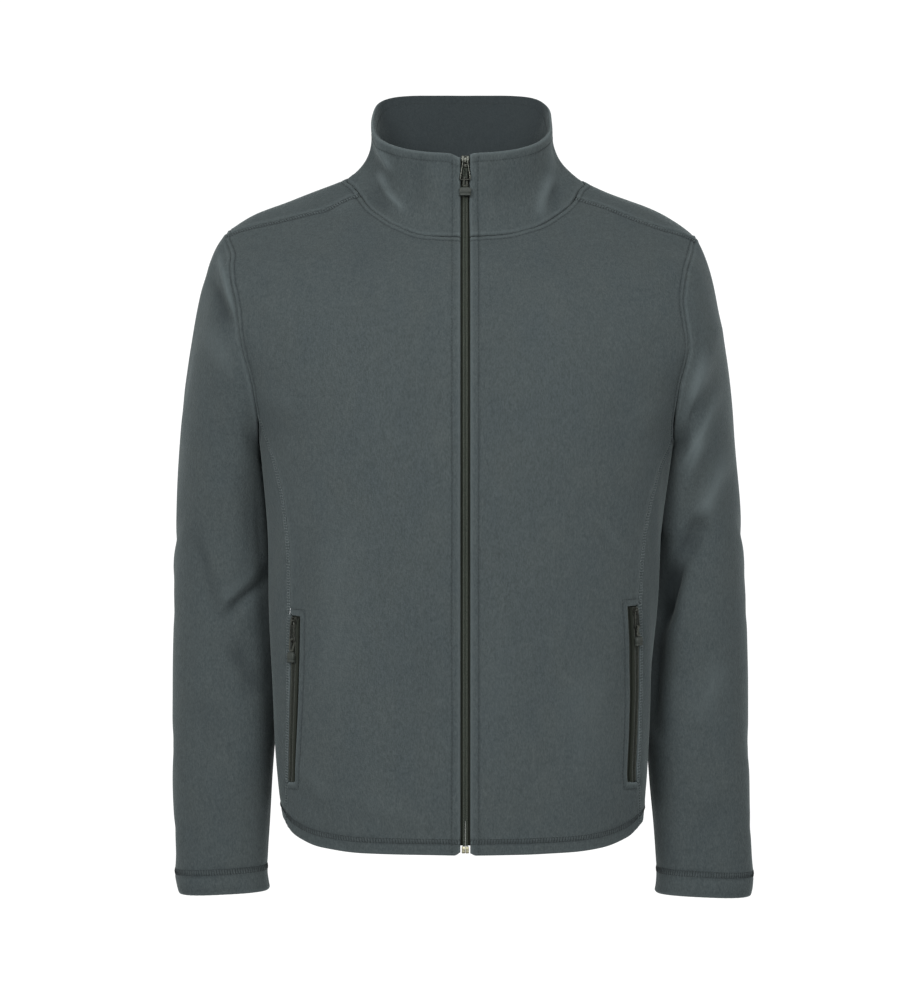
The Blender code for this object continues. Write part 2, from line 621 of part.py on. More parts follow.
def stay_off_body(side, points, down):
    """Moves points that would come too near the body out to its side."""
    y, z = points[:, 1], points[:, 2]
    front = y <= BODY.read("front_side", z)
    widest = np.where(front, BODY.read("front_side", z), BODY.read("back_side", z))
    centre = np.where(front, -BODY.read("front", z), BODY.read("back", z))
    square = np.where(front, BODY.read("front_square", z), BODY.read("back_square", z))
    s = np.clip((y - widest) / (centre - widest), 0, 1)
    face = BODY.read(SIDES[side], z) * (1 - s ** square) ** (1 / square)
    least = face + SEAM + SLEEVE_CLEAR * np.clip(down, 0, 1)
    top = TIP[side]
    middle = np.interp(z, [UNDERARM, top], [ARM_MIDDLE, 0])
    share = np.clip((2 * z - top - UNDERARM) / (top - UNDERARM), -1, 1)
    gape = np.where(y < middle, ARM_FRONT, ARM_BACK) * np.sqrt(1 - share ** 2)
    beside_cloth = np.abs(y - middle) > gape - 0.002
    x = np.abs(points[:, 0])
    points[:, 0] = side * np.where(beside_cloth, np.maximum(x, least), x)
    return points


def sleeve_outer(side, down, around):
    """Points of the sleeve's outer face, which starts on the armhole."""
    places = armhole(side, around)
    seam = body(side, places[:, 0], places[:, 1])
    start = ring(side, np.zeros_like(down), around)
    fade = np.clip(1 - down / 3.5, 0, 1) ** 2
    points = ring(side, down, around) + (seam - start) * fade[:, None]
    points[:, 0] += side * SEAM * (1 - np.cos(np.radians(around))) / 2 * fade
    return points


def sleeve_faces(side):
    """Outer and inner face of a sleeve, for wall()."""
    def outward(down, around):
        less, more = np.maximum(down - 0.1, 0), np.minimum(down + 0.1, CUFF)
        along = sleeve_outer(side, more, around) - sleeve_outer(side, less, around)
        over = sleeve_outer(side, down, around + 2) - sleeve_outer(side, down, around - 2)
        own = unit(np.cross(along, over)) * -side
        places = armhole(side, around)
        shared = body_outward(side, places[:, 0], places[:, 1])
        agree = np.clip(np.sum(own * shared, axis=1) / 0.35, 0, 1) * np.clip(1 - down * 2, 0, 1)
        return unit(mix(own, shared, agree))

    def outer(u, v):
        points = sleeve_outer(side, v, u)
        points = points + outward(v, u) * (fold_relief(points) * np.clip(v, 0, 1))[:, None]
        return stay_off_body(side, points, v)

    def inner(u, v):
        thick = np.where(v > CUFF - 0.01, TURNED, CLOTH)
        return outer(u, v) - outward(v, u) * thick[:, None]
    return outer, inner


def sleeve(side, material):
    rows = np.concatenate([[0, 0.45], np.linspace(1, 16.6, SLEEVE_ROWS - 4), [17.4, 18.2, CUFF]])
    return wall("sleeve_" + SIDES[side], [(armhole_rounds(), rows, *sleeve_faces(side))], material)


# ---- the collar

def rim(side, around):
    """Points of the collar's top edge, round from the middle of the front."""
    angle = np.radians(around)
    c, s = np.cos(angle), np.sin(angle)
    square = np.where(c > 0, RIM_SQUARE_FRONT, RIM_SQUARE_BACK)
    rounding = (np.abs(c) ** square + np.abs(s) ** square) ** (-1 / square)
    y = -np.where(c > 0, RIM_FRONT, RIM_BACK) * c * rounding
    z = RIM_HEIGHT + RIM_SLANT * y - RIM_CORNER * np.exp(-(around / 9) ** 2)
    return np.stack([side * RIM_HALF * s * rounding, y, z], axis=-1)


def collar_outer(side, around, rim_around, up):
    """The collar rises from the neck seam, leaning in at first and then upright, to its rim."""
    places = neck(side, around)
    base = body(side, places[..., 0], places[..., 1])
    top = rim(side, rim_around)
    angle = np.radians(around)
    beside = np.sin(angle) ** 2
    lean = LEAN + LEAN_MORE * beside
    inward = np.stack([-side * np.sin(angle), np.cos(angle), np.zeros_like(angle)], axis=-1)
    rise = np.linalg.norm(top - base, axis=-1)[..., None]
    leave = unit(inward * lean[..., None] + [0, 0, 0.8]) * rise * (1 + 0.8 * beside)[..., None]
    arrive = np.array([0, 0, 1.0]) * rise * 0.9
    t = up[..., None]
    return (base * (1 + 2 * t) * (1 - t) ** 2 + leave * t * (1 - t) ** 2
            + top * t * t * (3 - 2 * t) + arrive * t * t * (t - 1))


def collar_at(side, around, up):
    """A place on the collar, trimmed so that its front edge stays beside the zip."""
    edge_x, start = zip_edge(side)
    rim_start = np.degrees(edge_x / RIM_HALF)
    near = np.clip(1 - (around - start) / 30, 0, 1)
    return collar_outer(side, around, around + (rim_start - start) * near * up, up)


def collar_faces(side):
    def outer(u, v):
        return collar_at(side, u, v)

    def inner(u, v):
        reach = 2.0
        over = collar_at(side, np.minimum(u + reach, 180), v) - collar_at(side, u - reach, v)
        up = collar_at(side, u, np.minimum(v + 0.05, 1)) - collar_at(side, u, np.maximum(v - 0.05, 0))
        over[:, 1] = np.where(u > 179.9, 0, over[:, 1])
        over[:, 2] = np.where(u > 179.9, 0, over[:, 2])
        out = unit(np.cross(over, up)) * side
        return outer(u, v) - out * COLLAR_CLOTH
    return outer, inner


def collar_rounds(side):
    start = zip_edge(side)[1]
    return np.concatenate([np.linspace(start, NECK_JOIN, NECK_ROWS + 1), [(NECK_JOIN + 90) / 2],
                           np.linspace(90, 180, NECK_ROWS + 1)])


def collar(material):
    rows = np.concatenate([[COLLAR_START, 0.09, 0.2], np.linspace(0.36, 1, COLLAR_ROWS - 2)])
    patches = [(collar_rounds(side), rows, *collar_faces(side)) for side in SIDES]
    return wall("collar", patches, material)


# ---- zips

def zip_face(x, height, up):
    """Points of the outer face near the front zip: on the body below the neck seam, on the collar above."""
    x, height, up = np.broadcast_arrays(x, height, up)
    points = np.zeros(x.shape + (3,))
    for side in SIDES:
        away = np.maximum(np.abs(x), 1e-6)
        low = body(side, turn_at(side, away, height), height)
        around = np.degrees(away / RIM_HALF)
        for _ in range(4):
            high = collar_outer(side, around, around, np.maximum(up, 0))
            around = around * away / np.abs(high[..., 0])
        mine = (x <= 0) if side == RIGHT else (x > 0)
        points = np.where(mine[..., None], np.where((up > 0)[..., None], high, low), points)
    return points


def zip_rows(low, high_up, count=26, collar_count=6):
    """Heights up the front, then shares of the collar's rise, for a strip that follows the zip."""
    neck_height = float(NECK.read("right_height", 0))
    heights = np.concatenate([np.linspace(low, neck_height, count), np.full(collar_count, neck_height)])
    ups = np.concatenate([np.zeros(count), np.linspace(0, high_up, collar_count + 1)[1:]])
    return heights, ups


def zip_strip(name, left, right, low, high_up, front_deep, back_deep, material, columns=3):
    """A strip along the front zip, between two distances from its line and two depths."""
    heights, ups = zip_rows(low, high_up)
    rows = np.arange(len(heights), dtype=float)
    last_below = np.argmax(ups > 0) - 2

    def at(x, row):
        return zip_face(x, np.interp(row, rows, heights), np.interp(row, rows, ups))

    def outward(x, row):
        below, above = at(x, np.maximum(row - 0.5, 0)), at(x, np.minimum(row + 0.5, rows[-1]))
        rise = above - below
        return unit(np.stack([np.zeros_like(row), -rise[..., 2], rise[..., 1]], axis=-1))

    def deep(depth):
        def points(u, v):
            more = COLLAR_MORE * np.clip(v - last_below, 0, 1)
            return at(ZIP_X + u, v) - outward(ZIP_X + u, v) * (depth(u, v) + more)[..., None]
        return points

    places = np.linspace(left, right, columns)
    return wall(name, [(places, rows, deep(front_deep), deep(back_deep))], material)


def level(depth):
    return lambda u, v: np.full_like(u, depth)


def coil_front(deep):
    """The coil's front is a little rounded."""
    return lambda u, v: deep + 0.0006 * (u / COIL_WIDE) ** 2


def collar_up(height):
    """The share of the collar's rise at which its front reaches this height."""
    ups = np.linspace(0, 1, 201)
    heights = zip_face(np.full(201, ZIP_X), np.zeros(201), np.maximum(ups, 1e-6))[:, 2]
    return float(np.interp(height, heights, ups))


def front_zip(tape, teeth, metal):
    coil_deep = ZIP_TAPE_DEEP - SEAM - COIL_THICK
    bottom = ZIP_LOW + BOX_TALL + SEAM
    tape_up = collar_up(SLIDER_HEIGHT + PLATE_LONG / 2 - POST_LONG - SEAM)
    zip_strip("front_zip_tape_right", -TAPE_WIDE, 0, bottom, tape_up, level(ZIP_TAPE_DEEP),
              level(ZIP_TAPE_DEEP + TAPE), tape)
    zip_strip("front_zip_tape_left", 0, TAPE_WIDE, bottom, tape_up, level(ZIP_TAPE_DEEP),
              level(ZIP_TAPE_DEEP + TAPE), tape)
    zip_strip("front_zip_coil", -COIL_WIDE, COIL_WIDE, bottom, tape_up, coil_front(coil_deep),
              level(ZIP_TAPE_DEEP - SEAM), teeth)
    for side, name in ((RIGHT, "front_zip_pin"), (LEFT, "front_zip_box")):
        face = zip_face(np.array(ZIP_X), np.array(ZIP_LOW), np.array(0.0))
        box(name, (side * BOX_WIDE / 2, 0, 0), (BOX_WIDE - SEAM, BOX_TALL, BOX_THICK), 0.0006, metal,
            Matrix.Translation((ZIP_X, face[1] + 0.0013 + BOX_THICK / 2, ZIP_LOW + BOX_TALL / 2))
            @ Matrix.Rotation(math.pi / 2, 4, "X"))


def box(name, middle, size, bevel, material, frame):
    """A block with rounded edges, in the across, up and out of its frame."""
    bm = bmesh.new()
    bmesh.ops.create_cube(bm, size=1.0)
    bmesh.ops.scale(bm, vec=size, verts=bm.verts)
    bmesh.ops.translate(bm, vec=middle, verts=bm.verts)
    bmesh.ops.bevel(bm, geom=bm.edges[:], offset=bevel, segments=2, profile=0.5, affect="EDGES", material=-1)
    thing = finish(bm, name, material)
    thing.matrix_world = frame
    return thing


def frame_of(point, up, out):
    """A frame whose X runs across, Y up and Z out of the cloth."""
    out = Vector(out).normalized()
    up = Vector(up)
    up = (up - out * up.dot(out)).normalized()
    across = up.cross(out)
    frame = Matrix((across, up, out)).transposed().to_4x4()
    frame.translation = Vector(point)
    return frame


def front_frame():
    up = collar_up(SLIDER_HEIGHT)
    low, here, high = (zip_face(np.array(ZIP_X), np.array(0.0), np.array(u))
                       for u in (up - 0.05, up, up + 0.05))
    rise = high - low
    return frame_of(here, rise, (0, -rise[2], rise[1]))


def pocket_line(side, height, across=0.0):
    """Turn and height of the middle of a pocket's slot, or this far across it."""
    turn = SIDE_SEAM.read(SIDES[side] + "_turn", height)
    step = np.linalg.norm(body(side, turn + 1, height) - body(side, turn, height), axis=-1)
    return turn - (POCKET_SLOT / 2 + across) / step


def pocket_frame(side):
    height = POCKET_TOP[side] - PLATE_LONG / 2 - SEAM * 2
    low, here, high = (body(side, pocket_line(side, h), h) for h in (height - 0.01, height, height + 0.01))
    return frame_of(here, high - low, body_outward(side, pocket_line(side, height), height))


def pocket_zip(side, tape, teeth):
    word = SIDES[side]
    low, high = POCKET_LOW[side], POCKET_TOP[side]

    def deep(depth):
        return lambda u, v: body_depth(side, pocket_line(side, v, u), v, depth(u, v))

    rows = np.linspace(low - POCKET_PAST, high + POCKET_PAST, 11)
    wall("pocket_zip_tape_" + word,
         [(np.linspace(-POCKET_TAPE, POCKET_TAPE, 5), rows, deep(level(POCKET_TAPE_DEEP)),
           deep(level(POCKET_TAPE_DEEP + TAPE)))], tape)
    coil_deep = POCKET_TAPE_DEEP - SEAM - COIL_THICK
    rows = np.linspace(low + SEAM, high - SEAM, 11)
    wall("pocket_zip_coil_" + word,
         [(np.linspace(-COIL_WIDE, COIL_WIDE, 5), rows, deep(coil_front(coil_deep)),
           deep(level(POCKET_TAPE_DEEP - SEAM)))], teeth)


# ---- sliders and pulls

def prism(bm, outline, thick, middle=0.0):
    """A plate with this outline in up and out, and this thickness across."""
    verts = [bm.verts.new((middle - thick / 2, y, z)) for y, z in outline]
    face = bm.faces.new(verts)
    made = bmesh.ops.extrude_face_region(bm, geom=[face], use_keep_orig=True)["geom"]
    moved = [v for v in made if isinstance(v, bmesh.types.BMVert)]
    bmesh.ops.translate(bm, vec=(thick, 0, 0), verts=moved)


def block(bm, size, middle):
    made = bmesh.ops.create_cube(bm, size=1.0)["verts"]
    bmesh.ops.scale(bm, vec=size, verts=made)
    bmesh.ops.translate(bm, vec=middle, verts=made)


def slider_piece(name, shape, material, frame):
    """One part of a slider, which the others are joined to."""
    bm = bmesh.new()
    shape(bm)
    bmesh.ops.recalc_face_normals(bm, faces=bm.faces)
    thing = finish(bm, name, material)
    thing.matrix_world = frame
    return thing


def slider(name, frame, coil_deep, behind, material):
    """A plate in front of the coil, its crown and, where behind is given, the post and the back plate."""
    low = -coil_deep + SEAM
    top = low + PLATE_THICK
    plate = slider_piece(name, lambda bm: block(
        bm, (PLATE_WIDE, PLATE_LONG, PLATE_THICK), (0, 0, (low + top) / 2)), material, frame)
    over = top + HINGE_OVER
    roof, arch = over + WIRE + 0.0014, over + WIRE + 0.0004
    sunk = top - PLATE_THICK / 2
    crown = [(-0.0026, sunk), (-0.0020, roof - 0.0008), (-0.0008, roof), (0.0036, roof),
             (0.0050, roof - 0.0010), (0.0056, sunk), (0.0040, sunk), (0.0034, arch), (-0.0006, arch),
             (-0.0014, sunk)]
    extra = [lambda bm: prism(bm, crown, CROWN_WIDE)]
    if behind is not None:
        end = PLATE_LONG / 2
        deepest = -behind - SEAM - PLATE_THICK
        extra.append(lambda bm: block(bm, (POST_WIDE, POST_LONG, sunk - deepest - PLATE_THICK / 2),
                                      (0, end - POST_LONG / 2, (sunk + deepest + PLATE_THICK / 2) / 2)))
        extra.append(lambda bm: block(bm, (PLATE_WIDE, PLATE_LONG - 0.0002, PLATE_THICK),
                                      (0, -0.0001, deepest + PLATE_THICK / 2)))
    for number, shape in enumerate(extra):
        cutter = slider_piece("%s_part_%d" % (name, number), shape, material, frame)
        cutter.hide_render = True
        cutter.display_type = "WIRE"
        union = plate.modifiers.new("join", "BOOLEAN")
        union.operation = "UNION"
        union.object = cutter
    return Vector((0, HINGE_UP, over))


def tube(name, points, radius, material, parent):
    """A closed loop of round wire or cord."""
    data = bpy.data.curves.new(name, "CURVE")
    data.dimensions = "3D"
    data.bevel_depth = radius
    data.bevel_resolution = 1
    line = data.splines.new("POLY")
    line.points.add(len(points) - 1)
    for point, place in zip(line.points, points):
        point.co = (*place, 1)
    line.use_cyclic_u = True
    thing = new_object(name, data, material)
    thing.parent = parent
    return thing


def rounded_loop(corners, radius, steps=3):
    """The corners of a loop, each turned into a short arc."""
    points = []
    for before, corner, after in zip(corners[-1:] + corners[:-1], corners, corners[1:] + corners[:1]):
        first = corner + (before - corner).normalized() * radius
        last = corner + (after - corner).normalized() * radius
        for step in range(steps + 1):
            t = step / steps
            points.append(first * (1 - t) ** 2 + corner * 2 * t * (1 - t) + last * t * t)
    return points


def pull(name, frame, hinge, sizes, metal, cord, rubber):
    """A wire link in the slider's crown, a loop of cord and a moulded grip, on one hinge."""
    axis = bpy.data.objects.new(name + "_axis", None)
    bpy.context.scene.collection.objects.link(axis)
    axis.matrix_world = frame @ Matrix.Translation(hinge)
    link, foot, swing = sizes["link"], sizes["foot"], sizes["swing"]
    corners = [Vector((-sizes["top"], 0, 0)), Vector((sizes["top"], 0, 0)),
               Vector((foot, -link, swing)), Vector((-foot, -link, swing))]
    tube(name + "_link", rounded_loop(corners, 0.0014), WIRE, metal, axis)
    reach = WIRE + SEAM + CORD
    cord_low = sizes["cord"] - CORD - SEAM / 2
    middle = sizes["proud"] + sizes["thick"] / 2
    near, spread = CORD * 1.6, CORD * 2
    corners = [Vector((near / 2, -link + reach, swing - reach)), Vector((near, -link - reach, swing - reach)),
               Vector((spread, -cord_low, middle)), Vector((-spread, -cord_low, middle)),
               Vector((-near, -link - reach, swing + reach)), Vector((-near / 2, -link + reach, swing + reach))]
    tube(name + "_cord", rounded_loop(corners, 0.0012), CORD, cord, axis)
    grip = box(name + "_grip", (0, -sizes["cord"] - SEAM - sizes["grip"] / 2, middle),
               (sizes["wide"], sizes["grip"], sizes["thick"]), 0.0009, rubber, Matrix.Identity(4))
    grip.parent = axis
    return axis


# ---- materials

def finish_of(name, colour, roughness, metallic=0.0):
    material = bpy.data.materials.new(name)
    material.use_nodes = True
    shader = material.node_tree.nodes["Principled BSDF"]
    shader.inputs["Base Color"].default_value = (*colour, 1)
    shader.inputs["Roughness"].default_value = roughness
    shader.inputs["Metallic"].default_value = metallic
    return material


def main():
    for thing in list(bpy.data.objects):
        bpy.data.objects.remove(thing)
    fleece = finish_of("slate_fleece", (0.078, 0.098, 0.104), 0.95)
    tape = finish_of("olive_tape", (0.030, 0.036, 0.028), 0.85)
    teeth = finish_of("olive_coil", (0.026, 0.031, 0.024), 0.5)
    metal = finish_of("dark_metal", (0.16, 0.16, 0.14), 0.35, 0.9)
    pale = finish_of("pale_metal", (0.46, 0.44, 0.34), 0.4, 0.8)
    cord = finish_of("dark_cord", (0.05, 0.055, 0.045), 0.8)
    rubber = finish_of("grey_rubber", (0.11, 0.12, 0.10), 0.6)
    for side in SIDES:
        front_panel(side, fleece)
        sleeve(side, fleece)
        pocket_zip(side, tape, teeth)
    back_panel(fleece)
    collar(fleece)
    front_zip(tape, teeth, pale)
    tape_deep = ZIP_TAPE_DEEP + COLLAR_MORE
    frame = front_frame()
    hinge = slider("front_slider", frame, tape_deep - SEAM - COIL_THICK, tape_deep + TAPE, metal)
    pull("front_pull", frame, hinge, PULLS["front"], metal, cord, rubber)
    coil_deep = POCKET_TAPE_DEEP - SEAM - COIL_THICK
    for side, word in SIDES.items():
        frame = pocket_frame(side)
        hinge = slider("pocket_slider_" + word, frame, coil_deep, None, metal)
        pull("pocket_pull_" + word, frame, hinge, PULLS[word], metal, cord, rubber)


main()
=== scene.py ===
"""The looks of a fleece zip jacket, filled out as worn with nobody in it.

Metres, +Z up. The front faces -Y, the wearer's right is -X. A place on the body's outer face is a turn
and a height: the turn goes from -90 degrees at the middle of the front, through 0 at the side or the
ridge of the shoulder, to 90 at the middle of the back.
"""
import math
from dataclasses import dataclass
from functools import partial

import bmesh
import bpy
import numpy as np
from mathutils import Matrix, Vector
from mathutils.bvhtree import BVHTree
from mathutils.kdtree import KDTree


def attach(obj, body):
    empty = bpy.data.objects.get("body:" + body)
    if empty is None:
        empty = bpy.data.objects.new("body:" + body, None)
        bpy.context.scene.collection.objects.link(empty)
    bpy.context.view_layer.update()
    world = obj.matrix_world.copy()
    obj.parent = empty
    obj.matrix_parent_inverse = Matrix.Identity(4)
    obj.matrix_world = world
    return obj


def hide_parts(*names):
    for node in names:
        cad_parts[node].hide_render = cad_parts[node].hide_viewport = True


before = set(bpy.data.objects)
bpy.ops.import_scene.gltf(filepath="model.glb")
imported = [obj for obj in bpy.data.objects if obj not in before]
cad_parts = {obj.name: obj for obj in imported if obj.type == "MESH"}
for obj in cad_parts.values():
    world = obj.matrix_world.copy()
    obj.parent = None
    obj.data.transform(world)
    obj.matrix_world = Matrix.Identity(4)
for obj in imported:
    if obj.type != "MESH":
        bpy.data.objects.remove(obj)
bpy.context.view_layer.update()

RIGHT, LEFT = -1, 1
SIDES = {RIGHT: "right", LEFT: "left"}
BODY_NAME = "jacket"

# ---- cloth
CLOTH = 0.0024             # one layer of fleece
TURNED = 0.0042            # two layers, where an edge is turned in and stitched
COLLAR_CLOTH = 0.0046      # the collar is double
SEAM = 0.0003              # gap between two hard pieces
CLOTH_SEAM = 0.00008       # gap between two panels, which the nap all but closes
LEAST = 0.0003             # the thinnest a wall gets where its two faces round into each other

# ---- where the pieces meet
UNDERARM = -0.272          # height of the lowest point of the armholes
TIP = {RIGHT: -0.052, LEFT: -0.057}       # height where an armhole crosses the shoulder's ridge
ARM_FRONT, ARM_BACK = 0.074, 0.080        # how far the armhole reaches forward and back
ARM_MIDDLE = -0.0125       # depth of the underarm point
SIDE_JOIN = {RIGHT: 135, LEFT: 150}       # where the side seam runs into the armhole, round from the tip
SHOULDER_JOIN = 15         # where the shoulder seam runs into the armhole
NECK_JOIN = 73             # where the shoulder seam runs into the neck seam, round from the front

# ---- front zip
ZIP_X = 0.0038             # the zip's line
ZIP_GAP = 0.0048           # half of the band that shows between the two fronts
ZIP_TAPE_DEEP = 0.0050     # the tape's front face behind the fronts' outer face
COLLAR_MORE = 0.0005       # how much deeper it lies behind the collar
TAPE = 0.0009              # thickness of zip tape
COIL_WIDE = 0.0029         # half width of the closed chain
COIL_THICK = 0.0021
CHAIN_STEP, CHAIN_GAP = 0.0022, 0.00012   # distance of its rows, and half the gap at its middle
CHAIN_CROWN, CHAIN_SUNK = 0.0008, 0.0001  # how round each half is, and how far it lies behind its loops
LOOP = 0.00030             # radius of the knitted loops on it
LOOP_STEP, LOOP_LONG, LOOP_HALF = 0.00125, 0.00085, 0.00055   # from loop to loop, their length, half width
LOOP_AT = 0.52             # how far out they lie, as a share of the chain's half width
LOOP_LIFTS = (-0.00005, 0.00018, -0.00002)
TOOTH_HALF = 0.00042       # half width of the ridges between the tape edges
ZIP_LOW = -0.6785          # lower end of the box and pin
BOX_TALL, BOX_WIDE, BOX_THICK = 0.0068, 0.0037, 0.0036
SLIDER_HEIGHT = 0.0138     # middle of the front slider

# ---- pocket zips, in the side seams
POCKET_TOP = {RIGHT: -0.4446, LEFT: -0.4346}
POCKET_LOW = -0.6116
POCKET_SLOT = {RIGHT: 0.0132, LEFT: 0.0160}   # width of the slot from the front's edge to the side seam
POCKET_MIDDLE = 0.0056     # the zip's line, from the side seam
POCKET_STEP = 0.0012       # height over which the slot opens at its ends
POCKET_TAPE_DEEP = 0.0046
POCKET_CHAIN, POCKET_CHAIN_PROUD = 0.0052, 0.0008   # half width of the chain, and how far it stands out

# ---- sliders and pulls, in across, up and out from the middle of the slider on the cloth's face
PLATE_LONG, PLATE_WIDE, PLATE_THICK = 0.0120, 0.0078, 0.0012
PLATE_TAPER = 0.74         # width of its lower end, as a share
SPINE_WIDE, SPINE_TALL = 0.0030, 0.0008
FLANGE, FLANGE_DEEP = 0.0008, 0.0020      # its turned-down sides
POST_LONG, POST_WIDE = 0.0024, 0.0022
CROWN_WIDE = 0.0022
HINGE_UP, HINGE_OVER = 0.0012, 0.0014     # the pull's axis, up from the middle and over the plate
WIRE = 0.00075             # radius of the pull's wire
CORD = 0.0009              # radius of its cord
WIRE_BEND, CORD_BEND = 0.0014, 0.0012     # radii of their corners
NECK_CUT, GROOVE = 0.40, -0.22            # where the grip narrows and is grooved, as shares of its length
NECK_LEFT, GROOVE_LEFT = (0.84, 0.90), (0.90, 0.72)   # what is left there of its width and its thickness

# ---- the sleeves and the collar
ACROSS, NECK_ROWS, ARM_STEP = 12, 5, 15   # the shares in which the seams are laid out
CUFF = 19                  # the last ring of a sleeve
SLEEVE_CLEAR = 0.0016      # how far the sleeve stays off the body it hangs against
SLEEVE_SIDE = 0.268        # how far from the middle its outer side begins
ARM_RINGS = 3.5            # the rings over which a sleeve leaves the armhole's form
GAPE_EDGE = 0.002          # how far into the armhole the body's cloth is still kept clear of
RIM_EASE = 30              # degrees over which the collar's rim is drawn up to the zip's edge
RIM_HALF, RIM_FRONT, RIM_BACK = 0.0934, 0.0755, 0.0790
RIM_SQUARE_FRONT, RIM_SQUARE_BACK = 2.4, 4.8
RIM_HEIGHT, RIM_SLANT = 0.0607, 0.5055
COLLAR_START = 0.003       # its lowest row, as a share of its rise
RIM_CORNER, CORNER_WIDE = 0.0048, 5.0     # how far the rim dips at the zip, and over how many degrees
LEAN, LEAN_MORE = 0.30, 0.80              # how far it leans in at its foot, and how much more at the sides
LEAVE_UP, LEAVE_MORE, ARRIVE = 0.8, 0.8, 0.9    # how strongly it rises from its foot and comes in at its rim

# ---- how fine the cloth's meshes are: close rows near their edges, wide ones between
FINE, COARSE, REACH = 0.0007, 0.0033, 0.016
BACK_COARSE = 0.0037
SLEEVE_ROUND = 181         # points round a sleeve

# ---- lengths that the rows and columns of the patches are shared out over
SIDE_RUNS = (0.045, 0.167, 0.165)         # the side seam below, beside and above the pocket
FRONT_ACROSS, FRONT_NECK, FRONT_ARM = 0.200, 0.090, 0.160
BACK_ACROSS, BACK_SIDE, BACK_UPPER, BACK_NECK = 0.215, 0.055, 0.190, 0.110
SHOULDER_FORWARD = 0.030
COLLAR_ROUND, COLLAR_TALL = 0.260, 0.085
SEAM_SHARE = 0.68          # the share of a front's outer edge that the side seam takes up

# ---- how far each edge is turned in
ZIP_TURN, HEM_TURN, POCKET_TURN, BACK_POCKET_TURN = 0.010, 0.018, 0.007, 0.006
CUFF_TURN, COLLAR_TURN = 0.028, 0.012

# ---- relief of seams and stitches: height, and width or distance from the line
SEAM_DIP, SEAM_DIP_WIDE = 0.0006, 0.0012
SEAM_RISE, SEAM_RISE_AT, SEAM_RISE_WIDE = 0.0004, 0.0032, 0.0018
CHANNEL, CHANNEL_WIDE = 0.00055, 0.0009
RIPPLE, RIPPLE_WIDE, RIPPLE_LONG = 0.00030, 0.0035, 0.007
TURN_RISE = 0.0003
PUCKER, PUCKER_LONG = 0.00045, 0.016      # the fronts' edges pucker along the zip
PUCKER_REACH, PUCKER_FROM = 0.016, 0.008

# ---- wear and painted light: above 0 paler, as rubbed nap and painted highlight; below 0 painted shade, where the cloth is sunk and dark
# paler turned edges, cloth standing up beside seams and the band between stitch lines: rubbed nap and painted
# highlight
EDGE_RUB_AND_HIGHLIGHT, EDGE_RUB_AND_HIGHLIGHT_WIDE = 0.80, 0.0022
# painted shade in the grooves of seams and of stitch channels
SEAM_PAINTED_SHADE, SEAM_PAINTED_SHADE_WIDE = 0.22, 0.0008
SEAM_RUB_AND_HIGHLIGHT, SEAM_RUB_AND_HIGHLIGHT_AT, SEAM_RUB_AND_HIGHLIGHT_WIDE = 0.30, 0.0026, 0.0012
CHANNEL_PAINTED_SHADE = 0.42
BAND_RUB_AND_HIGHLIGHT, BAND_EDGE = 0.12, 0.0008        # between two lines of stitches, paler as rubbed nap and painted highlight
RIDGE, HOLLOW, PAINTED_LIGHT_RANGE = 0.0035, 0.0070, (-0.9, 0.8)   # height and depth of creases for full painted highlight on ridges and painted shade in hollows
COLLAR_PAINTED_SHADE = -0.85       # painted shade on the collar's inner face, which is darker

# ---- lesser shapes
SLOT_RELAX = 0.030         # how far from a pocket the front's cloth gives way to its slot
CORNER = {RIGHT: 0.0036, LEFT: 0.0026}    # how far the hem's corner beside the zip is rounded up
CORNER_REACH, CORNER_TALL = 0.0035, 0.02
TOUCH_OUT = 0.0024         # how far a sleeve stands out where it rests against the body
TOUCH_REACH, TOUCH_TOP = 0.006, -0.268    # how near that is, and the height where it begins
TROUGH_TOP = -0.37         # below this height a deep crease keeps the left sleeve's front off the body
FREE_FROM = 0.007          # how far from the armhole its creases have their full depth
BODY_CREASE_PAINTED = 0.3          # the share of the body's creases that is also painted as highlight and shade

FOLD_PAST, FOLD_FADE = 1.15, 0.9          # where a crease ends and how softly, as shares of half its length

# ---- the faint unevenness of worn cloth: height, size, how much the bumps are drawn out upwards, seed
BODY_SWELLS = ((0.0011, 0.040, 0.5, 5), (0.0012, 0.090, 0.5, 6))
SLEEVE_SWELLS = ((0.0009, 0.045, 0.6, 31), (0.0007, 0.100, 1.0, 41))
COLLAR_SWELLS = ((0.0005, 0.030, 1.0, 51), (0.0005, 0.060, 1.0, 52))

# ---- sewing: how far from its edge each line of stitches runs
ZIP_STITCH = 0.0085
RIM_STITCH = 0.0088
NECK_STITCH = 0.0050
ARM_STITCH = 0.0052
HEM_STITCHES = (0.0118, 0.0164)
CUFF_STITCHES = (0.0212, 0.0266)
SHOULDER_STITCHES = (0.0009, 0.0050)
SIDE_STITCHES, SIDE_CHANNELS = (0.0010, 0.0046), (0.0010, 0.0028, 0.0046)
POCKET_FRAME = 0.0070      # the stitches round a pocket, from the slot's edge
POCKET_FRAME_PAST = 0.0072 # and past its ends
FRAME_START = 0.0012       # how far from the side seam they begin
BAR_TACK = (-0.4430, -0.4370)             # the heights of the white bar tack at the top of the right pocket
STITCH, STITCH_GAP = 0.0022, 0.0007
THREAD = 0.00030           # radius of the thread
LADDER = 0.0028            # distance between the threads across a double line
RUNG = 1.30                # how much thicker those are
HEM_SLANT, CUFF_SLANT = 0.0010, 0.0013    # how much they slant
STITCH_LIFTS = (-0.0002, 0.00016, -0.0002)    # start, middle and end of a stitch over the cloth
RUNG_LIFTS = (0.0, 0.0003, 0.0)


def eased(start, leave, end, arrive, t):
    """A smooth way from start to end that sets out and comes in at the given slopes."""
    return (start * (1 + 2 * t) * (1 - t) ** 2 + leave * t * (1 - t) ** 2
            + end * t * t * (3 - 2 * t) + arrive * t * t * (t - 1))


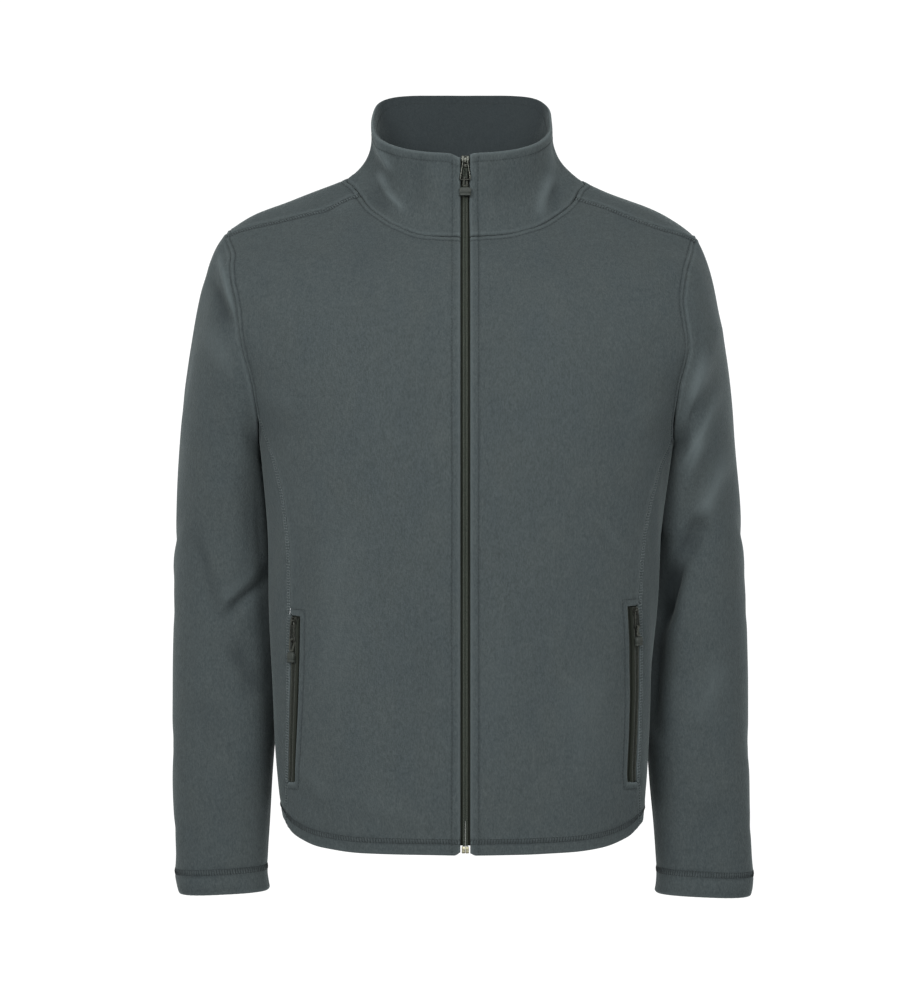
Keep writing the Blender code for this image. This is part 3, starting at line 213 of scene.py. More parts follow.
class Table:
    """Rows of named columns, read smoothly between the rows by the value in the first column."""

    def __init__(self, names, *rows):
        self.names = names.split()
        self.rows = np.array(rows, dtype=float)
        slopes = np.diff(self.rows, axis=0) / np.diff(self.rows[:, :1], axis=0)
        before, after = slopes[:-1], slopes[1:]
        rising = before * after > 0
        mean = np.where(rising, 2 * before * after / np.where(rising, before + after, 1), 0)
        self.slopes = np.vstack([slopes[:1], mean, slopes[-1:]])

    def read(self, name, place):
        column = self.names.index(name)
        key = self.rows[:, 0]
        place = np.clip(np.asarray(place, dtype=float), key[0], key[-1])
        low = np.clip(np.searchsorted(key, place, side="right") - 1, 0, len(key) - 2)
        span = key[low + 1] - key[low]
        t = (place - key[low]) / span
        start, end = self.rows[low, column], self.rows[low + 1, column]
        leave, arrive = self.slopes[low, column] * span, self.slopes[low + 1, column] * span
        return eased(start, leave, end, arrive, t)


# Half widths to the wearer's right and left, how far the middle of the front and back stand out, the
# depth of the widest place as the front and the back half see it, and how square each half is.
BODY = Table(
    "height   right    left     front    back     front_side back_side front_square back_square",
    (-0.690,  0.1790,  0.1830,  0.1265,  0.1150,  -0.012,    -0.012,   2.70,        2.5),
    (-0.655,  0.1835,  0.1865,  0.1290,  0.1160,  -0.012,    -0.012,   2.70,        2.5),
    (-0.625,  0.1880,  0.1900,  0.1305,  0.1140,  -0.012,    -0.012,   2.70,        2.5),
    (-0.580,  0.1915,  0.1920,  0.1310,  0.1080,  -0.012,    -0.012,   2.70,        2.5),
    (-0.500,  0.1948,  0.1955,  0.1330,  0.1030,  -0.012,    -0.012,   2.65,        2.5),
    (-0.430,  0.1975,  0.2000,  0.1360,  0.1050,  -0.012,    -0.012,   2.60,        2.5),
    (-0.350,  0.2010,  0.2065,  0.1400,  0.1150,  -0.012,    -0.012,   2.50,        2.4),
    (-0.272,  0.2075,  0.2165,  0.1420,  0.1280,  -0.0125,   -0.0125,  2.40,        2.4),
    (-0.220,  0.2175,  0.2275,  0.1390,  0.1340,  -0.040,     0.010,   2.30,        2.4),
    (-0.170,  0.2315,  0.2390,  0.1310,  0.1340,  -0.055,     0.030,   2.20,        2.3),
    (-0.130,  0.2445,  0.2395,  0.1180,  0.1300,  -0.050,     0.035,   2.10,        2.2),
    (-0.090,  0.2585,  0.2475,  0.1000,  0.1220,  -0.030,     0.020,   2.00,        2.1),
    (-0.0625, 0.2530,  0.2460,  0.0800,  0.1140,   0.0,       0.0,     2.00,        2.0),
    (-0.050,  0.2405,  0.2350,  0.0690,  0.1100,   0.0,       0.0,     2.00,        2.0),
    (-0.034,  0.2156,  0.2115,  0.0540,  0.1030,   0.0,       0.0,     2.00,        2.0),
    (-0.0176, 0.1742,  0.1722,  0.0390,  0.0950,   0.0,       0.0,     2.00,        2.0),
    (-0.001,  0.1318,  0.1298,  0.0250,  0.0865,   0.0,       0.0,     2.00,        2.0),
    (0.0072,  0.1132,  0.1112,  0.0200,  0.0820,   0.0,       0.0,     2.00,        2.0),
    (0.0155,  0.1018,  0.1008,  0.0170,  0.0780,   0.0,       0.0,     2.00,        2.1),
    (0.0240,  0.0956,  0.0946,  0.0150,  0.0740,   0.0,       0.0,     2.00,        2.2),
)

# The lower edge, by turn.
HEM = Table(
    "turn  height",
    (-90, -0.6810),
    (-60, -0.6795),
    (-45, -0.6760),
    (-33, -0.6690),
    (-18, -0.6580),
    (0,   -0.6520),
    (30,  -0.6560),
    (60,  -0.6680),
    (90,  -0.6720),
)

# How much of its reach the armhole has, by turn from its tip.
ARM_EASE = Table(
    "from_tip share",
    (0,   1.000),
    (10,  0.820),
    (20,  0.740),
    (25,  0.725),
    (30,  0.755),
    (35,  0.835),
    (40,  0.930),
    (45,  1.000),
    (50,  1.020),
    (65,  1.025),
    (90,  1.000),
)

# The side seams lie on the front of the body.
SIDE_SEAM = Table(
    "height   right_turn left_turn",
    (-0.690,  -19.5,     -20.5),
    (-0.655,  -21.5,     -22.5),
    (-0.630,  -26.5,     -26.5),
    (-0.600,  -30.0,     -29.5),
    (-0.530,  -33.1,     -29.3),
    (-0.480,  -34.6,     -30.5),
    (-0.425,  -35.4,     -33.4),
    (-0.380,  -35.6,     -32.8),
    (-0.330,  -33.4,     -29.8),
    (-0.293,  -29.9,     -23.5),
    (-0.272,  -26.0,     -15.5),
    (-0.235,  -17.5,      -9.0),
)

# The neck seam, round from the middle of the front to the middle of the back.
NECK = Table(
    "around right_turn right_height left_turn left_height",
    (0,     -90.0,     -0.0625,     -90.0,    -0.0625),
    (22,    -82.0,     -0.0612,     -80.5,    -0.0600),
    (40,    -74.5,     -0.0516,     -72.5,    -0.0529),
    (55,    -67.0,     -0.0370,     -63.0,    -0.0370),
    (70,    -54.0,     -0.0177,     -50.0,    -0.0205),
    (80,    -37.0,     -0.0045,     -36.0,    -0.0090),
    (90,      0.0,      0.0060,       0.0,     0.0020),
    (135,    45.0,      0.0135,      45.0,     0.0125),
    (180,    90.0,      0.0200,      90.0,     0.0200),
)

# The shoulder seams, from the neck seam to the armhole, lie in front of the ridge.
SHOULDER_SEAM = Table(
    "along right_turn right_height left_turn left_height",
    (0.0,  -51.0,     -0.0135,     -47.5,    -0.0170),
    (0.25, -48.0,     -0.0300,     -41.0,    -0.0275),
    (0.5,  -40.5,     -0.0372,     -36.5,    -0.0370),
    (0.75, -28.5,     -0.0440,     -28.0,    -0.0490),
    (1.0,  -13.5,     -0.0558,     -13.5,    -0.0607),
)

# The sleeves, ring by ring down the arm: the outer and the inner end of the right one's ring and of the
# left one's, each as a distance from the middle and a height, then the depth of the ring's middle, half
# its depth and how square it is.
SLEEVE = Table(
    "down right_outer right_outer_z right_inner right_inner_z left_outer left_outer_z left_inner left_inner_z"
    " middle half square",
    ( 0, 0.2425, -0.0520, 0.2075, -0.2720, 0.2395, -0.0570, 0.2165, -0.2720, -0.006, 0.0770, 2.00),
    ( 1, 0.2530, -0.0670, 0.2090, -0.2800, 0.2480, -0.0710, 0.2175, -0.2800, -0.002, 0.0800, 2.00),
    ( 2, 0.2640, -0.0950, 0.2085, -0.2890, 0.2580, -0.0970, 0.2165, -0.2890,  0.004, 0.0820, 2.00),
    ( 3, 0.2735, -0.1320, 0.2060, -0.3000, 0.2665, -0.1320, 0.2140, -0.3000,  0.011, 0.0830, 2.05),
    ( 4, 0.2815, -0.1720, 0.2025, -0.3150, 0.2738, -0.1720, 0.2100, -0.3150,  0.018, 0.0820, 2.10),
    ( 5, 0.2880, -0.2140, 0.1995, -0.3350, 0.2795, -0.2140, 0.2065, -0.3350,  0.024, 0.0800, 2.15),
    ( 6, 0.2930, -0.2580, 0.1975, -0.3600, 0.2835, -0.2580, 0.2030, -0.3600,  0.029, 0.0770, 2.20),
    ( 8, 0.2973, -0.3480, 0.1945, -0.4180, 0.2918, -0.3480, 0.1985, -0.4180,  0.034, 0.0720, 2.25),
    (10, 0.2998, -0.4380, 0.1928, -0.4840, 0.2963, -0.4380, 0.1945, -0.4840,  0.033, 0.0660, 2.30),
    (12, 0.3010, -0.5280, 0.1938, -0.5520, 0.2982, -0.5280, 0.1930, -0.5520,  0.028, 0.0585, 2.40),
    (14, 0.2998, -0.6170, 0.1970, -0.6220, 0.2995, -0.6170, 0.1968, -0.6220,  0.022, 0.0495, 2.40),
    (16, 0.2970, -0.6920, 0.2018, -0.6900, 0.3018, -0.6940, 0.2018, -0.6920,  0.018, 0.0410, 2.40),
    (17, 0.2980, -0.7140, 0.2024, -0.7110, 0.3034, -0.7160, 0.2032, -0.7140,  0.017, 0.0390, 2.40),
    (18, 0.2962, -0.7270, 0.2008, -0.7230, 0.3026, -0.7290, 0.2024, -0.7260,  0.016, 0.0385, 2.40),
    (19, 0.2935, -0.7365, 0.1990, -0.7315, 0.3005, -0.7388, 0.2008, -0.7346,  0.016, 0.0370, 2.40),
)

# The largest folds of the sleeves, which the solids have too. A fold is a line from its start to its
# end in x and z, half its width, and how far it stands out. Face is -1 for the front, 1 for the back.
FOLDS = (
    # start  start_z      end    end_z   wide      out  face
    ( 0.2570, -0.1550,  0.2360, -0.2240, 0.011,  0.0030,   -1),
    ( 0.2410, -0.2770,  0.2100, -0.3560, 0.012,  0.0035,   -1),
    ( 0.2420, -0.3600,  0.2010, -0.4460, 0.013, -0.0050,   -1),
    ( 0.2010, -0.4460,  0.1960, -0.5600, 0.012, -0.0040,   -1),
    (-0.2300, -0.4350, -0.2010, -0.4080, 0.010, -0.0035,   -1),
)

# The creases of the sleeves.
SLEEVE_CREASES = (
    # start  start_z      end    end_z    wide      out  face
    (-0.2495, -0.0727, -0.2235, -0.1500, 0.0038,  0.0052,   -1),
    (-0.2590, -0.0900, -0.2320, -0.1620, 0.0065, -0.0046,   -1),
    (-0.2640, -0.1450, -0.2280, -0.2080, 0.0090,  0.0012,   -1),
    (-0.2790, -0.3480, -0.2452, -0.4527, 0.0080, -0.0026,   -1),
    (-0.2480, -0.4500, -0.2000, -0.4070, 0.0060, -0.0048,   -1),
    (-0.2500, -0.4420, -0.2040, -0.3960, 0.0090,  0.0016,   -1),
    (-0.2350, -0.4712, -0.2043, -0.5326, 0.0110, -0.0032,   -1),
    (-0.2800, -0.5300, -0.2450, -0.5750, 0.0120, -0.0010,   -1),
    (-0.2200, -0.2900, -0.2080, -0.3900, 0.0140, -0.0020,   -1),
    ( 0.2500, -0.1750,  0.2223, -0.2668, 0.0070,  0.0036,   -1),
    ( 0.2650, -0.2108,  0.2243, -0.3050, 0.0070,  0.0030,   -1),
    ( 0.2400, -0.2150,  0.2180, -0.2900, 0.0060, -0.0036,   -1),
    ( 0.2790, -0.2718,  0.2325, -0.3736, 0.0090,  0.0030,   -1),
    ( 0.2500, -0.3350,  0.2230, -0.3950, 0.0080, -0.0040,   -1),
    ( 0.2250, -0.3850,  0.1990, -0.4700, 0.0085, -0.0090,   -1),
    ( 0.2020, -0.4500,  0.1980, -0.5700, 0.0070, -0.0080,   -1),
    ( 0.2700, -0.4900,  0.2400, -0.5600, 0.0140,  0.0012,   -1),
    ( 0.2850, -0.6350,  0.2350, -0.6650, 0.0120, -0.0010,   -1),
    (-0.2600, -0.1500, -0.2280, -0.2300, 0.0100,  0.0022,    1),
    (-0.2780, -0.2300, -0.2280, -0.3200, 0.0100, -0.0026,    1),
    (-0.2900, -0.3400, -0.2300, -0.4000, 0.0080, -0.0028,    1),
    (-0.2860, -0.3900, -0.2180, -0.4250, 0.0080,  0.0020,    1),
    (-0.2850, -0.4300, -0.2200, -0.4600, 0.0070, -0.0020,    1),
    (-0.2700, -0.5600, -0.2300, -0.6100, 0.0110, -0.0014,    1),
    ( 0.2600, -0.1700,  0.2300, -0.2500, 0.0100,  0.0022,    1),
    ( 0.2700, -0.2500,  0.2250, -0.3300, 0.0090, -0.0026,    1),
    ( 0.2880, -0.3500,  0.2300, -0.4150, 0.0080, -0.0026,    1),
    ( 0.2840, -0.4050,  0.2200, -0.4400, 0.0080,  0.0018,    1),
    ( 0.2820, -0.4450,  0.2250, -0.4700, 0.0070, -0.0018,    1),
    ( 0.2750, -0.5900,  0.2350, -0.6300, 0.0110, -0.0014,    1),
)

# The creases of the outer side of both sleeves. Their start and end are a depth and a height.
ARM_SIDE_CREASES = (
    # start  start_z     end    end_z    wide      out  face
    (-0.0300, -0.3300, 0.0600, -0.3950, 0.0100, -0.0014,   -1),
    (-0.0200, -0.3600, 0.0650, -0.4200, 0.0090,  0.0011,   -1),
    ( 0.0100, -0.4350, 0.0700, -0.4750, 0.0090, -0.0013,   -1),
    (-0.0300, -0.1400, 0.0100, -0.2400, 0.0130, -0.0013,   -1),
    ( 0.0450, -0.1300, 0.0300, -0.2500, 0.0120,  0.0013,   -1),
    (-0.0150, -0.5600, 0.0450, -0.6100, 0.0120, -0.0011,   -1),
    ( 0.0000, -0.6600, 0.0400, -0.6900, 0.0090, -0.0010,   -1),
)

# The creases of the body.
BODY_CREASES = (
    # start  start_z      end    end_z    wide      out  face
    ( 0.1277, -0.3477,  0.1675, -0.4014, 0.0042, -0.0017,   -1),
    ( 0.1440, -0.3390,  0.1800, -0.3874, 0.0040, -0.0012,   -1),
    ( 0.1340, -0.3400,  0.1740, -0.3950, 0.0060,  0.0013,   -1),
    (-0.1800, -0.5950, -0.1320, -0.6500, 0.0070, -0.0012,   -1),
    (-0.1700, -0.5950, -0.1280, -0.6300, 0.0080,  0.0012,   -1),
    (-0.1520, -0.3500, -0.1640, -0.5000, 0.0120, -0.0016,   -1),
    (-0.1180, -0.3300, -0.1280, -0.5500, 0.0200,  0.0018,   -1),
    ( 0.1350, -0.4800,  0.1150, -0.6200, 0.0200,  0.0016,   -1),
    ( 0.1700, -0.4400,  0.1600, -0.5600, 0.0120, -0.0012,   -1),
    ( 0.0300, -0.1000,  0.0480, -0.3200, 0.0180, -0.0010,   -1),
    (-0.0350, -0.1500, -0.0520, -0.3600, 0.0170, -0.0012,   -1),
    (-0.0300, -0.4200, -0.0450, -0.6000, 0.0160, -0.0010,   -1),
    ( 0.0400, -0.4300,  0.0300, -0.6000, 0.0160,  0.0010,   -1),
    (-0.2160, -0.1300, -0.1650, -0.1850, 0.0120, -0.0014,   -1),
    (-0.2080, -0.2100, -0.1600, -0.2450, 0.0110,  0.0012,   -1),
    ( 0.2150, -0.1500,  0.1650, -0.2050, 0.0120, -0.0014,   -1),
    ( 0.2100, -0.2250,  0.1600, -0.2650, 0.0110,  0.0013,   -1),
    (-0.0750, -0.0600, -0.1250, -0.1100, 0.0120, -0.0010,   -1),
    ( 0.0750, -0.0600,  0.1200, -0.1150, 0.0120, -0.0010,   -1),
    (-0.1100, -0.6200, -0.0400, -0.6480, 0.0090,  0.0009,   -1),
    (-0.1050, -0.0170, -0.1330, -0.0330, 0.0050,  0.0022,   -1),
    (-0.0600, -0.1000, -0.1100, -0.2600, 0.0180, -0.0026,    1),
    ( 0.0550, -0.1100,  0.1050, -0.2700, 0.0180, -0.0024,    1),
    (-0.1500, -0.1200, -0.0900, -0.2300, 0.0140,  0.0022,    1),
    ( 0.1550, -0.1300,  0.0950, -0.2400, 0.0140,  0.0022,    1),
    (-0.1500, -0.3600, -0.0300, -0.4100, 0.0130, -0.0028,    1),
    ( 0.1450, -0.3700,  0.0200, -0.4300, 0.0130, -0.0026,    1),
    (-0.1300, -0.4300, -0.0200, -0.4550, 0.0110, -0.0020,    1),
    ( 0.1200, -0.4500,  0.0100, -0.4700, 0.0110,  0.0020,    1),
    (-0.0500, -0.5000, -0.0700, -0.6400, 0.0180,  0.0022,    1),
    ( 0.0600, -0.5100,  0.0750, -0.6400, 0.0180, -0.0020,    1),
    ( 0.0050, -0.1500,  0.0000, -0.3200, 0.0160, -0.0016,    1),
)

# The creases of the collar.
COLLAR_CREASES = (
    # start  start_z      end    end_z    wide      out  face
    (-0.0877,  0.0380, -0.0700,  0.0030, 0.0038,  0.0036,   -1),
    (-0.0860,  0.0100, -0.0766, -0.0125, 0.0036,  0.0026,   -1),
    (-0.0800, -0.0090, -0.0560, -0.0368, 0.0040,  0.0036,   -1),
    (-0.0972, -0.0002, -0.0707, -0.0400, 0.0060, -0.0026,   -1),
    ( 0.0928,  0.0372,  0.0950,  0.0068, 0.0050,  0.0028,   -1),
    ( 0.0950,  0.0120,  0.0780, -0.0429, 0.0060,  0.0030,   -1),
    ( 0.1010,  0.0000,  0.0870, -0.0360, 0.0060, -0.0026,   -1),
    ( 0.0450,  0.0150,  0.0350, -0.0350, 0.0120, -0.0014,   -1),
    (-0.0450,  0.0250, -0.0400, -0.0350, 0.0120, -0.0016,   -1),
    (-0.0500,  0.0900, -0.0300,  0.0350, 0.0120, -0.0014,    1),
    ( 0.0450,  0.0900,  0.0250,  0.0350, 0.0120, -0.0014,    1),
)

# The three pulls, down from their axis: where the wire link ends and how wide it is at its top and its
# foot, how far the foot swings out, where the cord ends, how long, wide and thick the grip is, and how far
# in front of the axis it lies.
PULLS = {
    "front": dict(link=0.0195, top=0.0022, foot=0.0052, swing=0.0024, cord=0.0272,
                  grip=0.0084, wide=0.0118, thick=0.0040, proud=0.0016),
    "right": dict(link=0.0195, top=0.0020, foot=0.0034, swing=0.0004, cord=0.0300,
                  grip=0.0105, wide=0.0088, thick=0.0036, proud=0.0),
    "left": dict(link=0.0165, top=0.0020, foot=0.0034, swing=0.0004, cord=0.0250,
                 grip=0.0092, wide=0.0092, thick=0.0036, proud=0.0),
}


# ---- the garment's form

def unit(vectors):
    return vectors / np.linalg.norm(vectors, axis=-1, keepdims=True)


def smooth(t):
    """From 0 to 1, level at both ends."""
    t = np.clip(t, 0, 1)
    return t * t * (3 - 2 * t)


def bell(away, wide):
    return np.exp(-(away / wide) ** 2)


def squared(c, s, square):
    """Makes a ring of cosines and sines squarer than a circle."""
    return (np.abs(c) ** square + np.abs(s) ** square) ** (-1 / square)


def half_body(front, height):
    """Depth of the widest place, depth of the middle and squareness of the body's front or back half."""
    widest = np.where(front, BODY.read("front_side", height), BODY.read("back_side", height))
    middle = np.where(front, -BODY.read("front", height), BODY.read("back", height))
    square = np.where(front, BODY.read("front_square", height), BODY.read("back_square", height))
    return widest, middle, square


def body(side, turn, height):
    """Points of the body's outer face."""
    turn, height = np.broadcast_arrays(np.asarray(turn, dtype=float), np.asarray(height, dtype=float))
    front = turn <= 0
    widest, middle, square = half_body(front, height)
    angle = np.radians(np.abs(turn))
    c, s = np.abs(np.cos(angle)), np.abs(np.sin(angle))
    rounding = squared(c, s, square)
    x = side * BODY.read(SIDES[side], height) * c * rounding
    y = widest + (middle - widest) * s * rounding
    return np.stack([x, y, height], axis=-1)


def degree_wide(side, turn, height):
    """How far one degree of turn reaches on the body's face."""
    return np.linalg.norm(body(side, turn + 1, height) - body(side, turn, height), axis=-1)


def body_outward(side, turn, height):
    """The directions that point straight out of the body's face."""
    turn, height = np.broadcast_arrays(np.asarray(turn, dtype=float), np.asarray(height, dtype=float))
    reach, rise = 1.0, 0.002
    low = np.where(turn <= 0, np.maximum(turn - reach, -90), np.maximum(turn - reach, 1e-4))
    high = np.where(turn <= 0, np.minimum(turn + reach, 0), np.minimum(turn + reach, 90))
    over = body(side, high, height) - body(side, low, height)
    up = body(side, turn, height + rise) - body(side, turn, height - rise)
    return unit(np.cross(over, up)) * side


def armhole(side, around):
    """Turn and height of the armhole, round from its tip: 90 is its front, 180 the underarm."""
    around = np.asarray(around, dtype=float)
    from_tip = np.minimum(around, 360 - around)
    ease = ARM_EASE.read("share", from_tip)
    around = np.radians(around)
    top = TIP[side]
    height = (top + UNDERARM) / 2 + (top - UNDERARM) / 2 * np.cos(around)
    front = np.sin(around) >= 0
    middle = np.interp(height, [UNDERARM, top], [ARM_MIDDLE, 0])
    y = middle - np.where(front, ARM_FRONT, ARM_BACK) * np.sin(around) * ease
    widest, centre, square = half_body(front, height)
    s = np.clip((y - widest) / (centre - widest), 0, 1)
    turn = np.degrees(np.arctan2(s, (1 - s ** square) ** (1 / square)))
    return np.stack([np.where(front, -turn, turn + 1e-4), height], axis=-1)


def turn_at(side, x, height):
    """The turn at which the front's face lies this far from the middle."""
    square = BODY.read("front_square", height)
    c = np.clip(np.abs(x) / BODY.read(SIDES[side], height), 0, 1)
    return -np.degrees(np.arctan2((1 - c ** square) ** (1 / square), c))


def drawn(table, side, at):
    """Turn and height that a table of a seam gives on this side."""
    return np.stack([table.read(SIDES[side] + "_turn", at), table.read(SIDES[side] + "_height", at)], axis=-1)


def neck(side, around):
    return drawn(NECK, side, around)


def zip_edge(side):
    """How far the edge of a front lies from the middle, and where it meets the neck seam."""
    x = ZIP_GAP + side * ZIP_X
    around = np.linspace(0, 20, 401)
    places = neck(side, around)
    found = np.interp(x, np.abs(body(side, places[:, 0], places[:, 1])[:, 0]), around)
    return x, float(found)


def mix(start, end, t):
    """Places that share t of the way from start to end."""
    return start + (end - start) * t[..., None]


def span(bottom, top, first, last):
    """Fills four edges, each a function from 0 to 1, with places in between."""
    def place(u, v):
        flat = mix(bottom(u), top(u), v) + mix(first(v), last(v), u)
        low = mix(first(np.zeros_like(u)), last(np.zeros_like(u)), u)
        high = mix(first(np.ones_like(u)), last(np.ones_like(u)), u)
        return flat - mix(low, high, v)
    return place


def run(*knots):
    """An edge that joins several stretches: pairs of where each ends, and its function from 0 to 1."""
    def edge(t):
        places, start = None, 0.0
        for end, stretch in knots:
            part = stretch(np.clip((t - start) / (end - start), 0, 1))
            places = part if places is None else np.where((t > start)[..., None], part, places)
            start = end
        return places
    return edge


def between(low, high, function):
    """A stretch of a function, as an edge from 0 to 1."""
    return lambda t: function(low + (high - low) * t)


def upright(turn, height):
    """Places at these heights, all on one turn."""
    return np.stack([np.full_like(height, turn), height], axis=-1)


def side_seam(side, height):
    return np.stack([SIDE_SEAM.read(SIDES[side] + "_turn", height), height], axis=-1)


def hem(turn):
    return np.stack([turn, HEM.read("height", turn)], axis=-1)


def hem_join(side):
    """Turn and height where the side seam meets the hem."""
    turn = -20.0
    for _ in range(8):
        height = float(HEM.read("height", turn))
        turn = float(SIDE_SEAM.read(SIDES[side] + "_turn", height))
    return turn, height


def seam_with_ends(side):
    """The side seam, drawn to end exactly on the hem and on the armhole."""
    low = hem_join(side)[1]
    end = armhole(side, SIDE_JOIN[side])

    def edge(t):
        height = low + (end[1] - low) * t
        place = side_seam(side, height)
        miss = end[0] - SIDE_SEAM.read(SIDES[side] + "_turn", end[1])
        place[..., 0] += miss * t ** 6
        return place
    return edge


def shoulder(side):
    """The shoulder seam, from the neck seam to the armhole."""
    start, end = neck(side, NECK_JOIN), armhole(side, SHOULDER_JOIN)
    miss_start = start - drawn(SHOULDER_SEAM, side, 0.0)
    miss_end = end - drawn(SHOULDER_SEAM, side, 1.0)

    def edge(t):
        return (drawn(SHOULDER_SEAM, side, t) + miss_start * ((1 - t) ** 4)[..., None]
                + miss_end * (t ** 4)[..., None])
    return edge


def ring(side, down, around):
    """Points of the sleeve's plain rings."""
    word = SIDES[side]
    angle = np.radians(around)
    c, s = np.cos(angle), np.sin(angle)
    square = SLEEVE.read("square", down)
    rounding = squared(c, s, square)
    outer, outer_z, inner, inner_z = (SLEEVE.read(word + end, down)
                                      for end in ("_outer", "_outer_z", "_inner", "_inner_z"))
    x = (outer + inner) / 2 + (outer - inner) / 2 * c * rounding
    z = (outer_z + inner_z) / 2 + (outer_z - inner_z) / 2 * c * rounding
    y = SLEEVE.read("middle", down) - SLEEVE.read("half", down) * s * rounding
    return np.stack([side * x, y, z], axis=-1)


def press(points, folds, middle=0.02, turn_over=0.03, uneven=0.0):
    """How far the folds of a table stand out at these points, faint where the cloth turns to its side."""
    out = np.zeros(len(points))
    wander = swell(points, 0.05, 3) * uneven
    for x0, z0, x1, z1, wide, height, face in folds:
        way = np.array([x1 - x0, z1 - z0])
        spot = points[:, [0, 2]] - np.array([x0, z0])
        share = spot @ way / (way @ way)
        t = np.clip(share, 0, 1)
        away = np.linalg.norm(spot - t[:, None] * way, axis=1) + wander * wide
        ends = smooth((FOLD_PAST - np.abs(2 * share - 1)) / FOLD_FADE) if uneven else 1.0
        facing = np.clip(face * (points[:, 1] - middle) / turn_over, 0, 1)
        out += height * bell(away, wide) * facing * ends
    return out


def swell(points, size, seed):
    """A soft uneven rise and fall, from -1 to 1, with bumps of about this size."""
    random = np.random.RandomState(seed)
    total = np.zeros(len(points))
    for _ in range(14):
        way = random.normal(size=3)
        way *= 2 * math.pi / (size * random.uniform(0.8, 2.2)) / np.linalg.norm(way)
        total += np.sin(points @ way + random.uniform(0, 2 * math.pi))
    return total / 14 * 2.2


def unevenness(points, swells, more_seed=0):
    return sum(height * swell(points * [1.0, 1.0, tall], size, seed + more_seed)
               for height, size, tall, seed in swells)


def from_body(side, points):
    """How far out to the side of the body's face these points are."""
    x, y, z = np.abs(points[:, 0]), points[:, 1], points[:, 2]
    front = y <= BODY.read("front_side", z)
    widest, centre, square = half_body(front, z)
    s = np.clip((y - widest) / (centre - widest), 0, 1)
    return x - BODY.read(SIDES[side], z) * (1 - s ** square) ** (1 / square)


def stay_off_body(side, points, down):
    """Moves points that would come too near the body out to its side."""
    y, z = points[:, 1], points[:, 2]
    least = SEAM + SLEEVE_CLEAR * np.clip(down, 0, 1) - from_body(side, points)
    top = TIP[side]
    middle = np.interp(z, [UNDERARM, top], [ARM_MIDDLE, 0])
    share = np.clip((2 * z - top - UNDERARM) / (top - UNDERARM), -1, 1)
    gape = np.where(y < middle, ARM_FRONT, ARM_BACK) * np.sqrt(1 - share ** 2)
    beside_cloth = np.abs(y - middle) > gape - GAPE_EDGE
    points[:, 0] += side * np.where(beside_cloth, np.maximum(least, 0), 0)
    return points


def sleeve_outer(side, down, around):
    """Points of the sleeve's outer face, which starts on the armhole."""
    places = armhole(side, around)
    seam = body(side, places[:, 0], places[:, 1])
    start = ring(side, np.zeros_like(down), around)
    fade = np.clip(1 - down / ARM_RINGS, 0, 1) ** 2
    points = ring(side, down, around) + (seam - start) * fade[:, None]
    points[:, 0] += side * SEAM * (1 - np.cos(np.radians(around))) / 2 * fade
    return points


def sleeve_faces(side):
    """Outer face of a sleeve, and the ways out of it."""
    def outward(around, down):
        less, more = np.maximum(down - 0.1, 0), np.minimum(down + 0.1, CUFF)
        along = sleeve_outer(side, more, around) - sleeve_outer(side, less, around)
        over = sleeve_outer(side, down, around + 2) - sleeve_outer(side, down, around - 2)
        own = unit(np.cross(along, over)) * -side
        places = armhole(side, around)
        shared = body_outward(side, places[:, 0], places[:, 1])
        agree = np.clip(np.sum(own * shared, axis=1) / 0.35, 0, 1) * np.clip(1 - down * 2, 0, 1)
        return unit(mix(own, shared, agree))

    def outer(around, down):
        points = sleeve_outer(side, down, around)
        points = points + outward(around, down) * (press(points, FOLDS) * np.clip(down, 0, 1))[:, None]
        return stay_off_body(side, points, down)
    return outer, outward


def rim(side, around):
    """Points of the collar's top edge, round from the middle of the front."""
    angle = np.radians(around)
    c, s = np.cos(angle), np.sin(angle)
    square = np.where(c > 0, RIM_SQUARE_FRONT, RIM_SQUARE_BACK)
    rounding = squared(c, s, square)
    y = -np.where(c > 0, RIM_FRONT, RIM_BACK) * c * rounding
    z = RIM_HEIGHT + RIM_SLANT * y - RIM_CORNER * bell(around, CORNER_WIDE)
    return np.stack([side * RIM_HALF * s * rounding, y, z], axis=-1)


def collar_outer(side, around, rim_around, up):
    """The collar rises from the neck seam, leaning in at first and then upright, to its rim."""
    places = neck(side, around)
    base = body(side, places[..., 0], places[..., 1])
    top = rim(side, rim_around)
    angle = np.radians(around)
    beside = np.sin(angle) ** 2
    lean = LEAN + LEAN_MORE * beside
    inward = np.stack([-side * np.sin(angle), np.cos(angle), np.zeros_like(angle)], axis=-1)
    rise = np.linalg.norm(top - base, axis=-1)[..., None]
    leave = unit(inward * lean[..., None] + [0, 0, LEAVE_UP]) * rise * (1 + LEAVE_MORE * beside)[..., None]
    arrive = np.array([0, 0, 1.0]) * rise * ARRIVE
    return eased(base, leave, top, arrive, up[..., None])


def collar_faces(side):
    """Outer face of one half of the collar, and the ways out of it."""
    edge_x, start = zip_edge(side)
    rim_start = np.degrees(edge_x / RIM_HALF)

    def outer(around, up):
        near = np.clip(1 - (around - start) / RIM_EASE, 0, 1)
        return collar_outer(side, around, around + (rim_start - start) * near * up, up)

    def outward(around, up):
        reach = 2.0
        over = outer(np.minimum(around + reach, 180), up) - outer(around - reach, up)
        rise = outer(around, np.minimum(up + 0.05, 1)) - outer(around, np.maximum(up - 0.05, 0))
        over[:, 1] = np.where(around > 179.9, 0, over[:, 1])
        over[:, 2] = np.where(around > 179.9, 0, over[:, 2])
        return unit(np.cross(over, rise)) * side
    return outer, outward


# ---- making pieces

